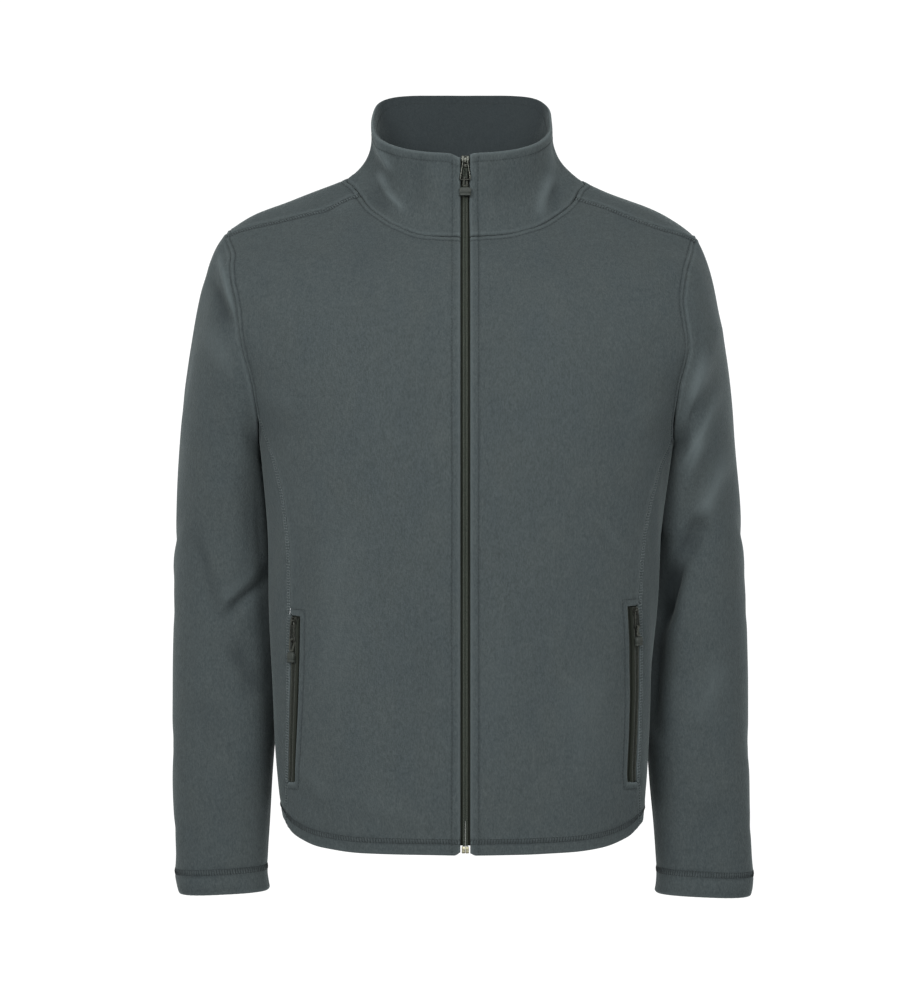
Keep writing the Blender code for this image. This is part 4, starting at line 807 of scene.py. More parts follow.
def new_object(name, mesh, material, nodes=(), rides=BODY_NAME):
    """Adds a finished piece: it rides on its body and stands for its nodes."""
    thing = bpy.data.objects.new(name, mesh)
    bpy.context.scene.collection.objects.link(thing)
    mesh.materials.append(material)
    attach(thing, rides)
    if nodes:
        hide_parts(*nodes)
    return thing


def to_mesh(bm, name, sharp=None):
    mesh = bpy.data.meshes.new(name)
    bm.to_mesh(mesh)
    bm.free()
    mesh.shade_smooth()
    if sharp:
        mesh.set_sharp_from_angle(angle=math.radians(sharp))
    return mesh


def graded(length, first=True, last=True, coarse=COARSE):
    """Shares of a length, close together near the ends that are finished."""
    along = np.linspace(0, length, 1001)
    near = np.full_like(along, length)
    if first:
        near = np.minimum(near, along)
    if last:
        near = np.minimum(near, length - along)
    step = FINE + (coarse - FINE) * np.clip(near / REACH, 0, 1)
    count = np.concatenate([[0], np.cumsum(np.diff(along) * 2 / (step[1:] + step[:-1]))])
    return np.interp(np.linspace(0, count[-1], round(count[-1]) + 1), count, along / length)


def joined(*stretches):
    """Places over several stretches, each given by where it ends and its own shares."""
    start, places = 0.0, [0.0]
    for end, shares in stretches:
        places += [start + (end - start) * share for share in shares[1:]]
        start = end
    return np.array(places)


def add_patch(bm, columns, rows, outer, outward):
    """Adds a grid whose points outer() gives, and notes the way out at each."""
    layer = bm.verts.layers.float_vector["outward"]
    wide, tall = len(columns) - 1, len(rows) - 1
    grid = bmesh.ops.create_grid(bm, x_segments=wide, y_segments=tall, size=0.5)["verts"]
    index = [(round((v.co.x + 0.5) * wide), round((v.co.y + 0.5) * tall)) for v in grid]
    u = np.array([columns[i] for i, _ in index], dtype=float)
    v = np.array([rows[j] for _, j in index], dtype=float)
    for vert, point, way in zip(grid, outer(u, v).tolist(), outward(u, v).tolist()):
        vert.co = point
        vert[layer] = way


def part_from_seams(bm):
    """Draws the edge of the sheet back by half a seam's gap."""
    moves = []
    for vert in bm.verts:
        rim_edges = [e for e in vert.link_edges if e.is_boundary]
        if not rim_edges:
            continue
        ways = [(e.other_vert(vert).co - vert.co).normalized() for e in rim_edges]
        along = (ways[0] - ways[1]).normalized() if len(ways) > 1 else ways[0]
        inner = [e.other_vert(vert).co - vert.co for e in vert.link_edges if not e.is_boundary]
        way = sum(inner, Vector()) if inner else ways[0] + ways[1]
        way -= along * way.dot(along)
        moves.append((vert, way.normalized() * CLOTH_SEAM / 2))
    for vert, move in moves:
        vert.co += move


class Line:
    """A line on the cloth: its points, and the ways out of the cloth there."""

    def __init__(self, points, outward):
        self.points, self.outward = points, outward

    @classmethod
    def on(cls, faces, u, v, count=1400):
        """Along a straight stretch of a patch."""
        t = np.linspace(0, 1, count)
        u, v = u[0] + (u[1] - u[0]) * t, v[0] + (v[1] - v[0]) * t
        return cls(faces[0](u, v), faces[1](u, v))

    def distance(self, points):
        tree = KDTree(len(self.points))
        for i, point in enumerate(self.points.tolist()):
            tree.insert(point, i)
        tree.balance()
        return np.array([tree.find(p)[2] for p in points.tolist()])

    def beside(self, away, toward):
        """The line that runs this far from it, on the side that toward points to."""
        along = unit(np.gradient(self.points, axis=0) + 1e-12)
        across = unit(np.cross(along, self.outward))
        across *= np.sign(np.sum(across * toward, axis=1))[:, None]
        return Line(self.points + across * away, self.outward)

    def evenly(self, pitch, start=0.0):
        """Rows of its points and ways out, six numbers each, at even steps."""
        steps = np.linalg.norm(np.diff(self.points, axis=0), axis=1)
        length = np.concatenate([[0], np.cumsum(steps)])
        keep = np.concatenate([[True], steps > 1e-9])
        places = np.arange(start, length[-1], pitch)
        both = np.hstack([self.points, self.outward])
        return np.stack([np.interp(places, length[keep], both[keep, i]) for i in range(6)], axis=1)


@dataclass
class End:
    """Where a piece of cloth ends: its line, "seam" or "fold", how far a fold is turned in, how far away its
    stitches run and on which side, and how much the threads between two lines of stitches slant. Stitches
    without a side only sink in."""

    line: Line
    kind: str
    deep: float = 0.0
    stitches: tuple = ()
    toward: tuple = None
    slant: float = 0.0


def seam_shape(away):
    """A sewn seam is drawn in and the cloth beside it stands up a little."""
    return -SEAM_DIP * bell(away, SEAM_DIP_WIDE) + SEAM_RISE * bell(away - SEAM_RISE_AT, SEAM_RISE_WIDE)


def cloth(name, patches, ends, creases, material, node, thickness=CLOTH, turned=TURNED, shift=None,
          inner_painted_shade=0.0):
    """A closed shell of cloth, shaped by its ends and its creases."""
    bm = bmesh.new()
    layer = bm.verts.layers.float_vector.new("outward")
    wear_and_light_layer = bm.verts.layers.float.new("wear_and_painted_light")
    for patch in patches:
        add_patch(bm, *patch)
    bmesh.ops.remove_doubles(bm, verts=bm.verts, dist=2e-5)
    part_from_seams(bm)
    points = np.array([v.co for v in bm.verts])
    outward = np.array([v[layer] for v in bm.verts])
    if shift is not None:
        points = shift(points)
    relief, drop = np.zeros(len(points)), np.zeros(len(points))
    # wear_and_painted_light: paler for rubbed nap and painted highlight, darker for painted shade in seams,
    # stitch channels and crease hollows
    thick, wear_and_painted_light = np.full(len(points), thickness), np.zeros(len(points))
    ripple = swell(points, RIPPLE_LONG, 11)
    ball = turned / 2
    for end in ends:
        away = end.line.distance(points)
        if end.kind == "fold":
            over = ball - np.sqrt(np.maximum(ball ** 2 - np.maximum(ball - away, 0) ** 2, 0))
            drop = np.maximum(drop, over)
            thick = np.maximum(thick, thickness + (turned - thickness) * smooth((end.deep - away) / 0.002))
            # rubbed nap and painted highlight along the turned edge
            wear_and_painted_light += EDGE_RUB_AND_HIGHLIGHT * bell(away, EDGE_RUB_AND_HIGHLIGHT_WIDE)
            relief += TURN_RISE * smooth((end.deep - away) / 0.0015) * smooth(away / 0.003)
        else:
            relief += seam_shape(away)
            # painted shade in the seam's groove
            wear_and_painted_light -= SEAM_PAINTED_SHADE * bell(away, SEAM_PAINTED_SHADE_WIDE)
            # rubbed nap and painted highlight where the cloth stands up beside the seam
            wear_and_painted_light += SEAM_RUB_AND_HIGHLIGHT * bell(away - SEAM_RUB_AND_HIGHLIGHT_AT, SEAM_RUB_AND_HIGHLIGHT_WIDE)
        for stitch in end.stitches:
            channel = bell(away - stitch, CHANNEL_WIDE)
            relief -= CHANNEL * channel
            # painted shade in the stitch channel
            wear_and_painted_light -= CHANNEL_PAINTED_SHADE * channel
            relief += RIPPLE * ripple * bell(away - stitch, RIPPLE_WIDE)
        if len(end.stitches) == 2:
            first, last = end.stitches
            band = smooth((away - first) / BAND_EDGE) * smooth((last - away) / BAND_EDGE)
            # the band between two lines of stitches: paler, rubbed nap and painted highlight
            wear_and_painted_light += BAND_RUB_AND_HIGHLIGHT * band
    loose, folded = creases(points)
    soft = loose + folded
    # painted highlight on crease ridges, painted shade in their hollows
    wear_and_painted_light += np.clip(np.where(folded > 0, folded / RIDGE, folded / HOLLOW), *PAINTED_LIGHT_RANGE)
    outer = points + outward * (soft + relief - drop)[:, None]
    inner = points + outward * np.minimum(soft - thick + drop, soft + relief - drop - LEAST)[:, None]
    for vert, point, under, shade in zip(bm.verts, outer.tolist(), (inner - outer).tolist(), wear_and_painted_light.tolist()):
        vert.co = point
        vert[layer] = under
        vert[wear_and_light_layer] = shade
    made = bmesh.ops.extrude_face_region(bm, geom=bm.faces[:], use_keep_orig=True)
    layer = bm.verts.layers.float_vector["outward"]
    wear_and_light_layer = bm.verts.layers.float["wear_and_painted_light"]
    for item in made["geom"]:
        if isinstance(item, bmesh.types.BMVert):
            item.co += item[layer]
            # the inner face gets its own value: painted shade inside the collar
            item[wear_and_light_layer] = inner_painted_shade
    bm.verts.layers.float_vector.remove(layer)
    bmesh.ops.recalc_face_normals(bm, faces=bm.faces)
    return new_object(name, to_mesh(bm, name), material, [node])


def round_curve(name, radius, resolution, caps):
    """A curve that is bevelled to a round section."""
    data = bpy.data.curves.new(name, "CURVE")
    data.dimensions = "3D"
    data.bevel_depth = radius
    data.bevel_resolution = resolution
    data.use_fill_caps = caps
    return data


def curve_to_mesh(name, data):
    thing = bpy.data.objects.new(name, data)
    bpy.context.scene.collection.objects.link(thing)
    mesh = bpy.data.meshes.new_from_object(thing.evaluated_get(bpy.context.evaluated_depsgraph_get()))
    bpy.data.objects.remove(thing)
    mesh.name = name
    mesh.materials.clear()
    mesh.shade_smooth()
    return mesh


# ---- sewing

class Sewing:
    """The threads that show on one piece of cloth, each a short run of points."""

    def __init__(self, piece, kind="stitches"):
        self.name = piece.name + "_" + kind
        self.tree = BVHTree.FromObject(piece, bpy.context.evaluated_depsgraph_get())
        self.data = round_curve(self.name, THREAD, 1, True)

    def settle(self, point, outward, lift):
        """The place on the cloth next to this point, lifted."""
        outward = Vector(outward)
        found = self.tree.ray_cast(Vector(point) + outward * 0.004, -outward, 0.009)[0]
        if found is None:
            found = self.tree.find_nearest(point)[0]
        return found + outward * lift

    def thread(self, places, lifts, radius=1.0):
        spline = self.data.splines.new("POLY")
        spline.points.add(len(places) - 1)
        for point, (place, outward), lift in zip(spline.points, places, lifts):
            point.co = (*self.settle(place, outward, lift), 1)
            point.radius = radius

    def topstitch(self, line):
        """A line of stitches, sunk at their ends."""
        rows = line.evenly(STITCH / 2)
        step = round((STITCH + STITCH_GAP) / (STITCH / 2))
        for first in range(0, len(rows) - 2, step):
            self.thread([(row[:3], row[3:]) for row in rows[first:first + 3]], STITCH_LIFTS)

    def ladder(self, first, last, slant):
        """The threads that run to and fro between two lines of stitches."""
        for start, end in zip(first.evenly(LADDER), last.evenly(LADDER, slant)):
            middle = (start + end) / 2
            self.thread([(row[:3], row[3:]) for row in (start, middle, end)], RUNG_LIFTS, RUNG)

    def sew(self, ends):
        """The stitches beside the ends, and threads between them where there are two lines."""
        for end in ends:
            if end.toward is None:
                continue
            lines = [end.line.beside(away, end.toward) for away in end.stitches]
            for line in lines:
                self.topstitch(line)
            if len(lines) == 2:
                self.ladder(*lines, end.slant)

    def finish(self, material):
        new_object(self.name, curve_to_mesh(self.name, self.data), material)


# ---- the body's panels

def body_faces(side, place):
    """Outer face of a patch of the body, and the ways out of it."""
    def outer(u, v):
        spot = place(u, v)
        return body(side, spot[..., 0], spot[..., 1])

    def outward(u, v):
        spot = place(u, v)
        return body_outward(side, spot[..., 0], spot[..., 1])
    return outer, outward


def side_rows(side):
    """Shares of the side seam's height where the panels on both sides of it have a row."""
    low, top = hem_join(side)[1], float(armhole(side, SIDE_JOIN[side])[1])
    heights = (POCKET_LOW - POCKET_STEP, POCKET_LOW, POCKET_TOP[side], POCKET_TOP[side] + POCKET_STEP)
    ends = [(height - low) / (top - low) for height in heights] + [1.0]
    step = np.linspace(0, 1, 5)
    below, beside, above = (graded(length) for length in SIDE_RUNS)
    return joined(*zip(ends, (below, step, beside, step, above))), ends


def body_creases(points):
    """How far the body's cloth stands out, and how much of that is also painted as highlight and shade."""
    pressed = press(points, BODY_CREASES, middle=0.0, uneven=0.5)
    return unevenness(points, BODY_SWELLS) + (1 - BODY_CREASE_PAINTED) * pressed, BODY_CREASE_PAINTED * pressed


def beyond_neck(points):
    """Ways that lead out and down from the neck seam."""
    return points * [1, 1, 0] + [0, 0, -0.03]


def front_panel(side, fleece, thread):
    """From the zip to the side seam and the armhole, from the hem to the shoulder seam."""
    word = SIDES[side]
    edge_x, edge_around = zip_edge(side)
    arm_rows = (SIDE_JOIN[side] - SHOULDER_JOIN) // ARM_STEP
    side_share, neck_share = SEAM_SHARE, SEAM_SHARE + (1 - SEAM_SHARE) * (arm_rows - NECK_ROWS) / arm_rows
    shares, slot_ends = side_rows(side)
    rows = joined((side_share, shares), (neck_share, graded(FRONT_NECK, False, True)),
                  (1.0, graded(FRONT_ARM)))
    columns = graded(FRONT_ACROSS)
    low = float(hem(turn_at(side, edge_x, -0.68))[1])
    top = float(neck(side, edge_around)[1])

    def up_the_zip(height):
        return np.stack([turn_at(side, edge_x, height), height], axis=-1)

    zip_side = run((neck_share, between(low, top, up_the_zip)),
                   (1.0, between(edge_around, NECK_JOIN, partial(neck, side))))
    arm_side = run((side_share, seam_with_ends(side)),
                   (1.0, between(SIDE_JOIN[side], SHOULDER_JOIN, partial(armhole, side))))
    bottom = between(float(turn_at(side, edge_x, low)), hem_join(side)[0], hem)
    place = span(bottom, shoulder(side), zip_side, arm_side)

    def slotted(u, v):
        """The cloth beside the pocket gives way to its slot."""
        spot = place(u, v)
        edge = arm_side(v)
        degree = degree_wide(side, edge[..., 0], spot[..., 1])
        from_seam = np.abs(edge[..., 0] - spot[..., 0]) * degree
        past = np.maximum(np.maximum(POCKET_LOW - spot[..., 1], spot[..., 1] - POCKET_TOP[side]), 0)
        give = np.clip(1 - from_seam / SLOT_RELAX, 0, 1)
        give *= 1 - np.clip(past / (POCKET_STEP + from_seam), 0, 1)
        spot[..., 0] -= np.where(v < side_share, give * POCKET_SLOT[side] / degree, 0)
        return spot

    faces = body_faces(side, slotted)
    slot_low, slot_top = slot_ends[0] * side_share, slot_ends[3] * side_share
    neck_line = Line.on(faces, (0, 0), (neck_share, 1))
    ends = [
        End(Line.on(faces, (0, 0), (0, neck_share)), "fold", ZIP_TURN, (ZIP_STITCH,), (side, 0, 0)),
        End(Line.on(faces, (0, 1), (0, 0)), "fold", HEM_TURN, HEM_STITCHES, (0, 0, 1), HEM_SLANT),
        End(Line.on(faces, (1, 1), (slot_low, slot_top)), "fold", POCKET_TURN, (POCKET_FRAME,)),
        End(neck_line, "seam", 0, (NECK_STITCH,), beyond_neck(neck_line.points)),
        End(Line.on(faces, (0, 1), (1, 1)), "seam", 0, SHOULDER_STITCHES, (0, -1, -1)),
        End(Line.on(faces, (1, 1), (side_share, 1)), "seam", 0, (ARM_STITCH,), (-side, 0, 0)),
        End(Line.on(faces, (1, 1), (0, slot_low)), "seam"),
        End(Line.on(faces, (1, 1), (slot_top, side_share)), "seam"),
    ]

    def shift(points):
        """The corner of the hem beside the zip is rounded."""
        from_zip = np.abs(points[:, 0] - ZIP_X) - ZIP_GAP
        rise = CORNER[side] * bell(np.maximum(from_zip, 0), CORNER_REACH)
        points[:, 2] += rise * np.exp(-np.maximum(points[:, 2] - low, 0) / CORNER_TALL)
        return points

    def creases(points):
        from_zip = np.abs(points[:, 0] - ZIP_X)
        pucker = PUCKER * swell(points * [0.2, 0.2, 1.0], PUCKER_LONG, 21 + side)
        pucker *= np.exp(-from_zip / PUCKER_REACH)
        loose, folded = body_creases(points)
        return loose + pucker * smooth(from_zip / PUCKER_FROM), folded

    piece = cloth("front_%s_panel" % word, [(columns, rows, *faces)], ends, creases, fleece, "front_" + word,
                  shift=shift)
    sewing = Sewing(piece)
    sewing.sew(ends)
    sewing.topstitch(pocket_outline(side))
    sewing.finish(thread)
    return piece


def pocket_outline(side):
    """The line of stitches round the open sides of a pocket's slot."""
    low, high = POCKET_LOW - POCKET_FRAME_PAST, POCKET_TOP[side] + POCKET_FRAME_PAST
    across = POCKET_SLOT[side] + POCKET_FRAME
    corners = np.array([(FRAME_START, high), (across, high), (across, low), (FRAME_START, low)])
    places = np.concatenate([a + (b - a) * np.linspace(0, 1, 300)[:, None]
                             for a, b in zip(corners, corners[1:])])
    turn = side_seam(side, places[:, 1])[:, 0]
    turn = turn - places[:, 0] / degree_wide(side, turn, places[:, 1])
    return Line(body(side, turn, places[:, 1]), body_outward(side, turn, places[:, 1]))


def back_panel(fleece, thread, pale_thread, white_thread):
    """One piece that comes forward to the side seams and over the shoulders to the shoulder seams."""
    patches, ends, side_ends = [], [], []
    upper_columns = graded(BACK_ACROSS, coarse=BACK_COARSE)
    for side in SIDES:
        tongue = (180 - SIDE_JOIN[side]) // ARM_STEP
        share = ACROSS / (ACROSS + tongue)
        rows, slot_ends = side_rows(side)
        lower_columns = joined((share, upper_columns), (1.0, graded(BACK_SIDE, False, True)))
        flat = between(90, 1e-4, lambda t: np.stack([t, np.full_like(t, UNDERARM)], axis=-1))
        under = between(180, SIDE_JOIN[side], partial(armhole, side))
        steps = np.linspace(float(HEM.read("height", 90)), UNDERARM, len(rows))
        hem_end = graded(UNDERARM - steps[0], True, False)
        steps = steps[0] + (UNDERARM - steps[0]) * np.interp(np.linspace(0, 1, len(rows)),
                                                             np.linspace(0, 1, len(hem_end)), hem_end)

        def middle(t, rows=rows, steps=steps):
            return upright(90.0, np.interp(t, rows, steps))

        lower_faces = body_faces(side, span(between(90, hem_join(side)[0], hem),
                                            run((share, flat), (1.0, under)), middle, seam_with_ends(side)))
        patches.append((lower_columns, rows, *lower_faces))

        arm_rows = 180 // ARM_STEP
        neck_top = float(neck(side, 180)[1])
        middle_up = between(UNDERARM, neck_top, partial(upright, 90.0))
        split = 1 - NECK_ROWS / arm_rows
        medial = run((split, middle_up), (1.0, between(180, 90, lambda a, s=side: neck(s, a) + [1e-4, 0])))
        lateral = between(180, 360, partial(armhole, side))
        ridge_top = float(neck(side, 90)[1])
        ridge = between(ridge_top, TIP[side], partial(upright, 1e-4))
        upper_faces = body_faces(side, span(flat, ridge, medial, lateral))
        upper_rows = joined((split, graded(BACK_UPPER, False, True, BACK_COARSE)),
                            (1.0, graded(BACK_NECK, False, False, BACK_COARSE)))
        patches.append((upper_columns, upper_rows, *upper_faces))

        over = between(ridge_top, TIP[side], partial(upright, 0.0))
        neck_end = between(90, NECK_JOIN, partial(neck, side))
        arm_end = between(0, SHOULDER_JOIN, partial(armhole, side))
        forward_faces = body_faces(side, span(over, shoulder(side), neck_end, arm_end))
        patches.append((upper_columns, graded(SHOULDER_FORWARD, False, True), *forward_faces))

        necks = [Line.on(upper_faces, (0, 0), (split, 1)), Line.on(forward_faces, (0, 0), (0, 1), 400)]
        arms = [Line.on(lower_faces, (share, 1), (1, 1), 500), Line.on(upper_faces, (1, 1), (0, 1)),
                Line.on(forward_faces, (1, 1), (0, 1), 400)]
        low_side = Line.on(lower_faces, (1, 1), (0, slot_ends[0]), 500)
        slot_side = Line.on(lower_faces, (1, 1), (slot_ends[0], slot_ends[3]))
        high_side = Line.on(lower_faces, (1, 1), (slot_ends[3], 1))
        ends.append(End(Line.on(lower_faces, (0, 1), (0, 0)), "fold", HEM_TURN, HEM_STITCHES, (0, 0, 1),
                        HEM_SLANT))
        ends.append(End(Line.on(forward_faces, (0, 1), (1, 1)), "seam"))
        ends += [End(line, "seam", 0, (NECK_STITCH,), beyond_neck(line.points)) for line in necks]
        ends += [End(line, "seam", 0, (ARM_STITCH,), toward)
                 for line, toward in zip(arms, ((0, 0, -1), (-side, 0, 0), (-side, 0, 0)))]
        ends += [End(line, "seam", 0, SIDE_CHANNELS) for line in (low_side, high_side)]
        ends.append(End(slot_side, "fold", BACK_POCKET_TURN, SIDE_CHANNELS))
        side_ends += [End(line, "seam", 0, SIDE_STITCHES, (side, 0.6, 0))
                      for line in (low_side, slot_side, high_side)]
    piece = cloth("back_panel", patches, ends, body_creases, fleece, "back")
    sewing = Sewing(piece)
    sewing.sew(ends)
    sewing.finish(thread)
    sewing = Sewing(piece, "side_stitches")
    sewing.sew(side_ends)
    sewing.finish(pale_thread)
    sewing = Sewing(piece, "bar_tack")
    heights = np.linspace(*BAR_TACK, 3)
    for strand in range(3):
        turn = side_seam(RIGHT, heights)[:, 0] - 0.2 + 0.12 * strand
        places = zip(body(RIGHT, turn, heights), body_outward(RIGHT, turn, heights))
        sewing.thread(list(places), (0.0, 0.0006, 0.0))
    sewing.finish(white_thread)
    return piece


def sleeve(side, fleece, thread):
    """A set-in sleeve, its hem turned up at the cuff."""
    word = SIDES[side]
    faces = sleeve_faces(side)
    downs = np.linspace(0, CUFF, 200)
    middle_line = (ring(side, downs, np.full(200, 90.0)) + ring(side, downs, np.full(200, 270.0))) / 2
    length = np.concatenate([[0], np.cumsum(np.linalg.norm(np.diff(middle_line, axis=0), axis=1))])
    rows = np.interp(graded(length[-1]) * length[-1], length, downs)
    columns = np.linspace(0, 360, SLEEVE_ROUND)
    arm_line = Line.on(faces, (0, 360), (0, 0))
    ends = [
        End(arm_line, "seam"),
        End(Line.on(faces, (0, 360), (CUFF, CUFF)), "fold", CUFF_TURN, CUFF_STITCHES, (0, 0, 1), CUFF_SLANT),
        End(Line.on(faces, (180, 180), (0.4, CUFF)), "seam"),
    ]

    def creases(points):
        """It is free but for its seam and where it rests against the body, which it touches."""
        free = smooth(arm_line.distance(points) / FREE_FROM)
        touching = smooth(1 - (from_body(side, points) - SLEEVE_CLEAR) / TOUCH_REACH)
        touching *= smooth((TOUCH_TOP - points[:, 2]) / 0.012)
        if side == LEFT:
            touching *= np.maximum(smooth(points[:, 1] / 0.02), smooth((points[:, 2] - TROUGH_TOP) / 0.03))
        free *= 1 - touching
        beside = np.stack([points[:, 1], SLEEVE_SIDE - side * points[:, 0], points[:, 2]], axis=1)
        pressed = press(points, SLEEVE_CREASES, uneven=0.5)
        pressed += press(beside, ARM_SIDE_CREASES, middle=0.0, turn_over=0.02, uneven=0.5)
        return unevenness(points, SLEEVE_SWELLS, side) * free + TOUCH_OUT * touching, pressed * free

    piece = cloth("sleeve_%s_cloth" % word, [(columns, rows, *faces)], ends, creases, fleece,
                  "sleeve_" + word)
    sewing = Sewing(piece)
    sewing.sew(ends)
    sewing.finish(thread)
    return piece


def collar(fleece, thread):
    """A stand collar, double, folded at its top edge and beside the zip."""
    patches, ends, inside = [], [], []
    rows = COLLAR_START + (1 - COLLAR_START) * graded(COLLAR_TALL)
    for side in SIDES:
        faces = collar_faces(side)
        start = zip_edge(side)[1]
        columns = start + (180 - start) * graded(COLLAR_ROUND, True, False)
        patches.append((columns, rows, *faces))
        rim_line = Line.on(faces, (start, 180), (1, 1))
        zip_line = Line.on(faces, (start, start), (COLLAR_START, 1))
        neck_line = Line.on(faces, (start, 180), (COLLAR_START, COLLAR_START))
        ends.append(End(rim_line, "fold", COLLAR_TURN, (RIM_STITCH,), (0, 0, -1)))
        ends.append(End(zip_line, "fold", COLLAR_TURN, (ZIP_STITCH,), (side, 0, 0)))
        ends.append(End(neck_line, "seam"))
        outside = rim_line.beside(RIM_STITCH, (0, 0, -1))
        inside.append(Line(outside.points - outside.outward * COLLAR_CLOTH, -outside.outward))

    def creases(points):
        return unevenness(points, COLLAR_SWELLS), press(points, COLLAR_CREASES, middle=0.0, uneven=0.4)

    piece = cloth("collar_cloth", patches, ends, creases, fleece, "collar",
                  thickness=COLLAR_CLOTH, turned=COLLAR_CLOTH, inner_painted_shade=COLLAR_PAINTED_SHADE)
    sewing = Sewing(piece)
    sewing.sew(ends)
    for line in inside:
        sewing.topstitch(line)
    sewing.finish(thread)
    return piece


# ---- zips

def zip_face(x, height, up):
    """Points of the outer face near the front zip: on the body below the neck seam, on the collar above."""
    x, height, up = np.broadcast_arrays(x, height, up)
    points = np.zeros(x.shape + (3,))
    for side in SIDES:
        away = np.maximum(np.abs(x), 1e-6)
        low = body(side, turn_at(side, away, height), height)
        around = np.degrees(away / RIM_HALF)
        for _ in range(4):
            high = collar_outer(side, around, around, np.maximum(up, 0))
            around = around * away / np.abs(high[..., 0])
        mine = (x <= 0) if side == RIGHT else (x > 0)
        points = np.where(mine[..., None], np.where((up > 0)[..., None], high, low), points)
    return points


def collar_up(height):
    """The share of the collar's rise at which its front reaches this height."""
    ups = np.linspace(0, 1, 201)
    heights = zip_face(np.full(201, ZIP_X), np.zeros(201), np.maximum(ups, 1e-6))[:, 2]
    return float(np.interp(height, heights, ups))


def front_zip_line():
    """The front zip's line on the cloth's outer face, and how much deeper the zip lies behind the collar."""
    low = ZIP_LOW + BOX_TALL + SEAM
    top_up = collar_up(SLIDER_HEIGHT + PLATE_LONG / 2 - POST_LONG - SEAM)
    neck_height = float(NECK.read("right_height", 0))
    count, collar_count = 700, 120
    heights = np.concatenate([np.linspace(low, neck_height, count), np.full(collar_count, neck_height)])
    ups = np.concatenate([np.zeros(count), np.linspace(0, top_up, collar_count + 1)[1:]])
    points = zip_face(np.full(len(heights), ZIP_X), heights, ups)
    rise = np.gradient(points, axis=0)
    outward = unit(np.stack([np.zeros(len(points)), -rise[:, 2], rise[:, 1]], axis=1))
    more = COLLAR_MORE * np.clip(np.arange(len(points)) - count, 0, 20) / 20
    return Line(points - outward * more[:, None], outward)


def pocket_line(side, height, across=0.0):
    """Turn and height of the middle of a pocket's slot, or this far across it."""
    turn = SIDE_SEAM.read(SIDES[side] + "_turn", height)
    return turn - (POCKET_MIDDLE + across) / degree_wide(side, turn, height)


def pocket_zip_line(side):
    heights = np.linspace(POCKET_LOW + SEAM, POCKET_TOP[side] - SEAM, 300)
    turn = pocket_line(side, heights)
    return Line(body(side, turn, heights), body_outward(side, turn, heights))


def across_line(rows):
    """Points, ways out, ways along and ways across of the rows of a line."""
    points, outward = rows[:, :3], rows[:, 3:]
    along = unit(np.gradient(points, axis=0))
    return points, outward, along, unit(np.cross(along, outward))


def chain(name, node, line, tape_deep, half, proud, cloth_material, loop_material):
    """The closed chain of a zip: the two tape edges that meet, a row of knitted loops along each, and the
    ridges of the teeth that show between them."""
    front, behind = tape_deep - SEAM - COIL_THICK - proud, tape_deep - SEAM
    points, outward, _, across = across_line(line.evenly(CHAIN_STEP))
    bm = bmesh.new()
    wide = (half - CHAIN_GAP) / 2
    for side in SIDES:
        outline = [(side * (CHAIN_GAP + wide + wide * -math.cos(a)),
                    front + CHAIN_SUNK + CHAIN_CROWN * (1 - math.sin(a))) for a in np.linspace(0, math.pi, 7)]
        outline += [(outline[-1][0], behind), (outline[0][0], behind)]
        round_it, along_it = len(outline), len(points) - 1
        grid = bmesh.ops.create_grid(bm, x_segments=round_it, y_segments=along_it, size=0.5)["verts"]
        for vert in grid:
            i = round((vert.co.x + 0.5) * round_it) % round_it
            j = round((vert.co.y + 0.5) * along_it)
            x, deep = outline[i]
            vert.co = points[j] + across[j] * x - outward[j] * deep
    bmesh.ops.remove_doubles(bm, verts=bm.verts, dist=1e-6)
    bmesh.ops.holes_fill(bm, edges=[e for e in bm.edges if e.is_boundary], sides=0)
    bmesh.ops.recalc_face_normals(bm, faces=bm.faces)
    new_object(name, to_mesh(bm, name, 50), cloth_material, [node])

    strokes = [((-TOOTH_HALF, 0), (TOOTH_HALF, 0.0))]
    for side in SIDES:
        x = side * half * LOOP_AT
        strokes += [((x - LOOP_HALF, 0), (x, LOOP_LONG)), ((x + LOOP_HALF, 0), (x, LOOP_LONG))]
    data = round_curve(name + "_loops", LOOP, 0, True)
    for point, out, up, over in zip(*across_line(line.evenly(LOOP_STEP))):
        for (x0, s0), (x1, s1) in strokes:
            spline = data.splines.new("POLY")
            spline.points.add(2)
            for k, lift in enumerate(LOOP_LIFTS):
                x, s = x0 + (x1 - x0) * k / 2, s0 + (s1 - s0) * k / 2
                place = point + over * x + up * s - out * (front - lift)
                spline.points[k].co = (*place, 1)
    new_object(name + "_loops", curve_to_mesh(name + "_loops", data), loop_material)


def frame_of(point, up, out):
    """A frame whose X runs across, Y up and Z out of the cloth."""
    out = Vector(out).normalized()
    up = Vector(up)
    up = (up - out * up.dot(out)).normalized()
    across = up.cross(out)
    matrix = Matrix((across, up, out)).transposed().to_4x4()
    matrix.translation = Vector(point)
    return matrix


def front_frame():
    up = collar_up(SLIDER_HEIGHT)
    low, here, high = (zip_face(np.array(ZIP_X), np.array(0.0), np.array(u))
                       for u in (up - 0.05, up, up + 0.05))
    rise = high - low
    return frame_of(here, rise, (0, -rise[2], rise[1]))


def pocket_frame(side):
    height = POCKET_TOP[side] - PLATE_LONG / 2 - SEAM * 2
    low, here, high = (body(side, pocket_line(side, h), h) for h in (height - 0.01, height, height + 0.01))
    return frame_of(here, high - low, body_outward(side, pocket_line(side, height), height))


def bevelled(bm, verts, offset, segments=3):
    edges = {edge for vert in verts for edge in vert.link_edges}
    bmesh.ops.bevel(bm, geom=list(edges), offset=offset, segments=segments, profile=0.5, affect="EDGES",
                    material=-1, clamp_overlap=True)


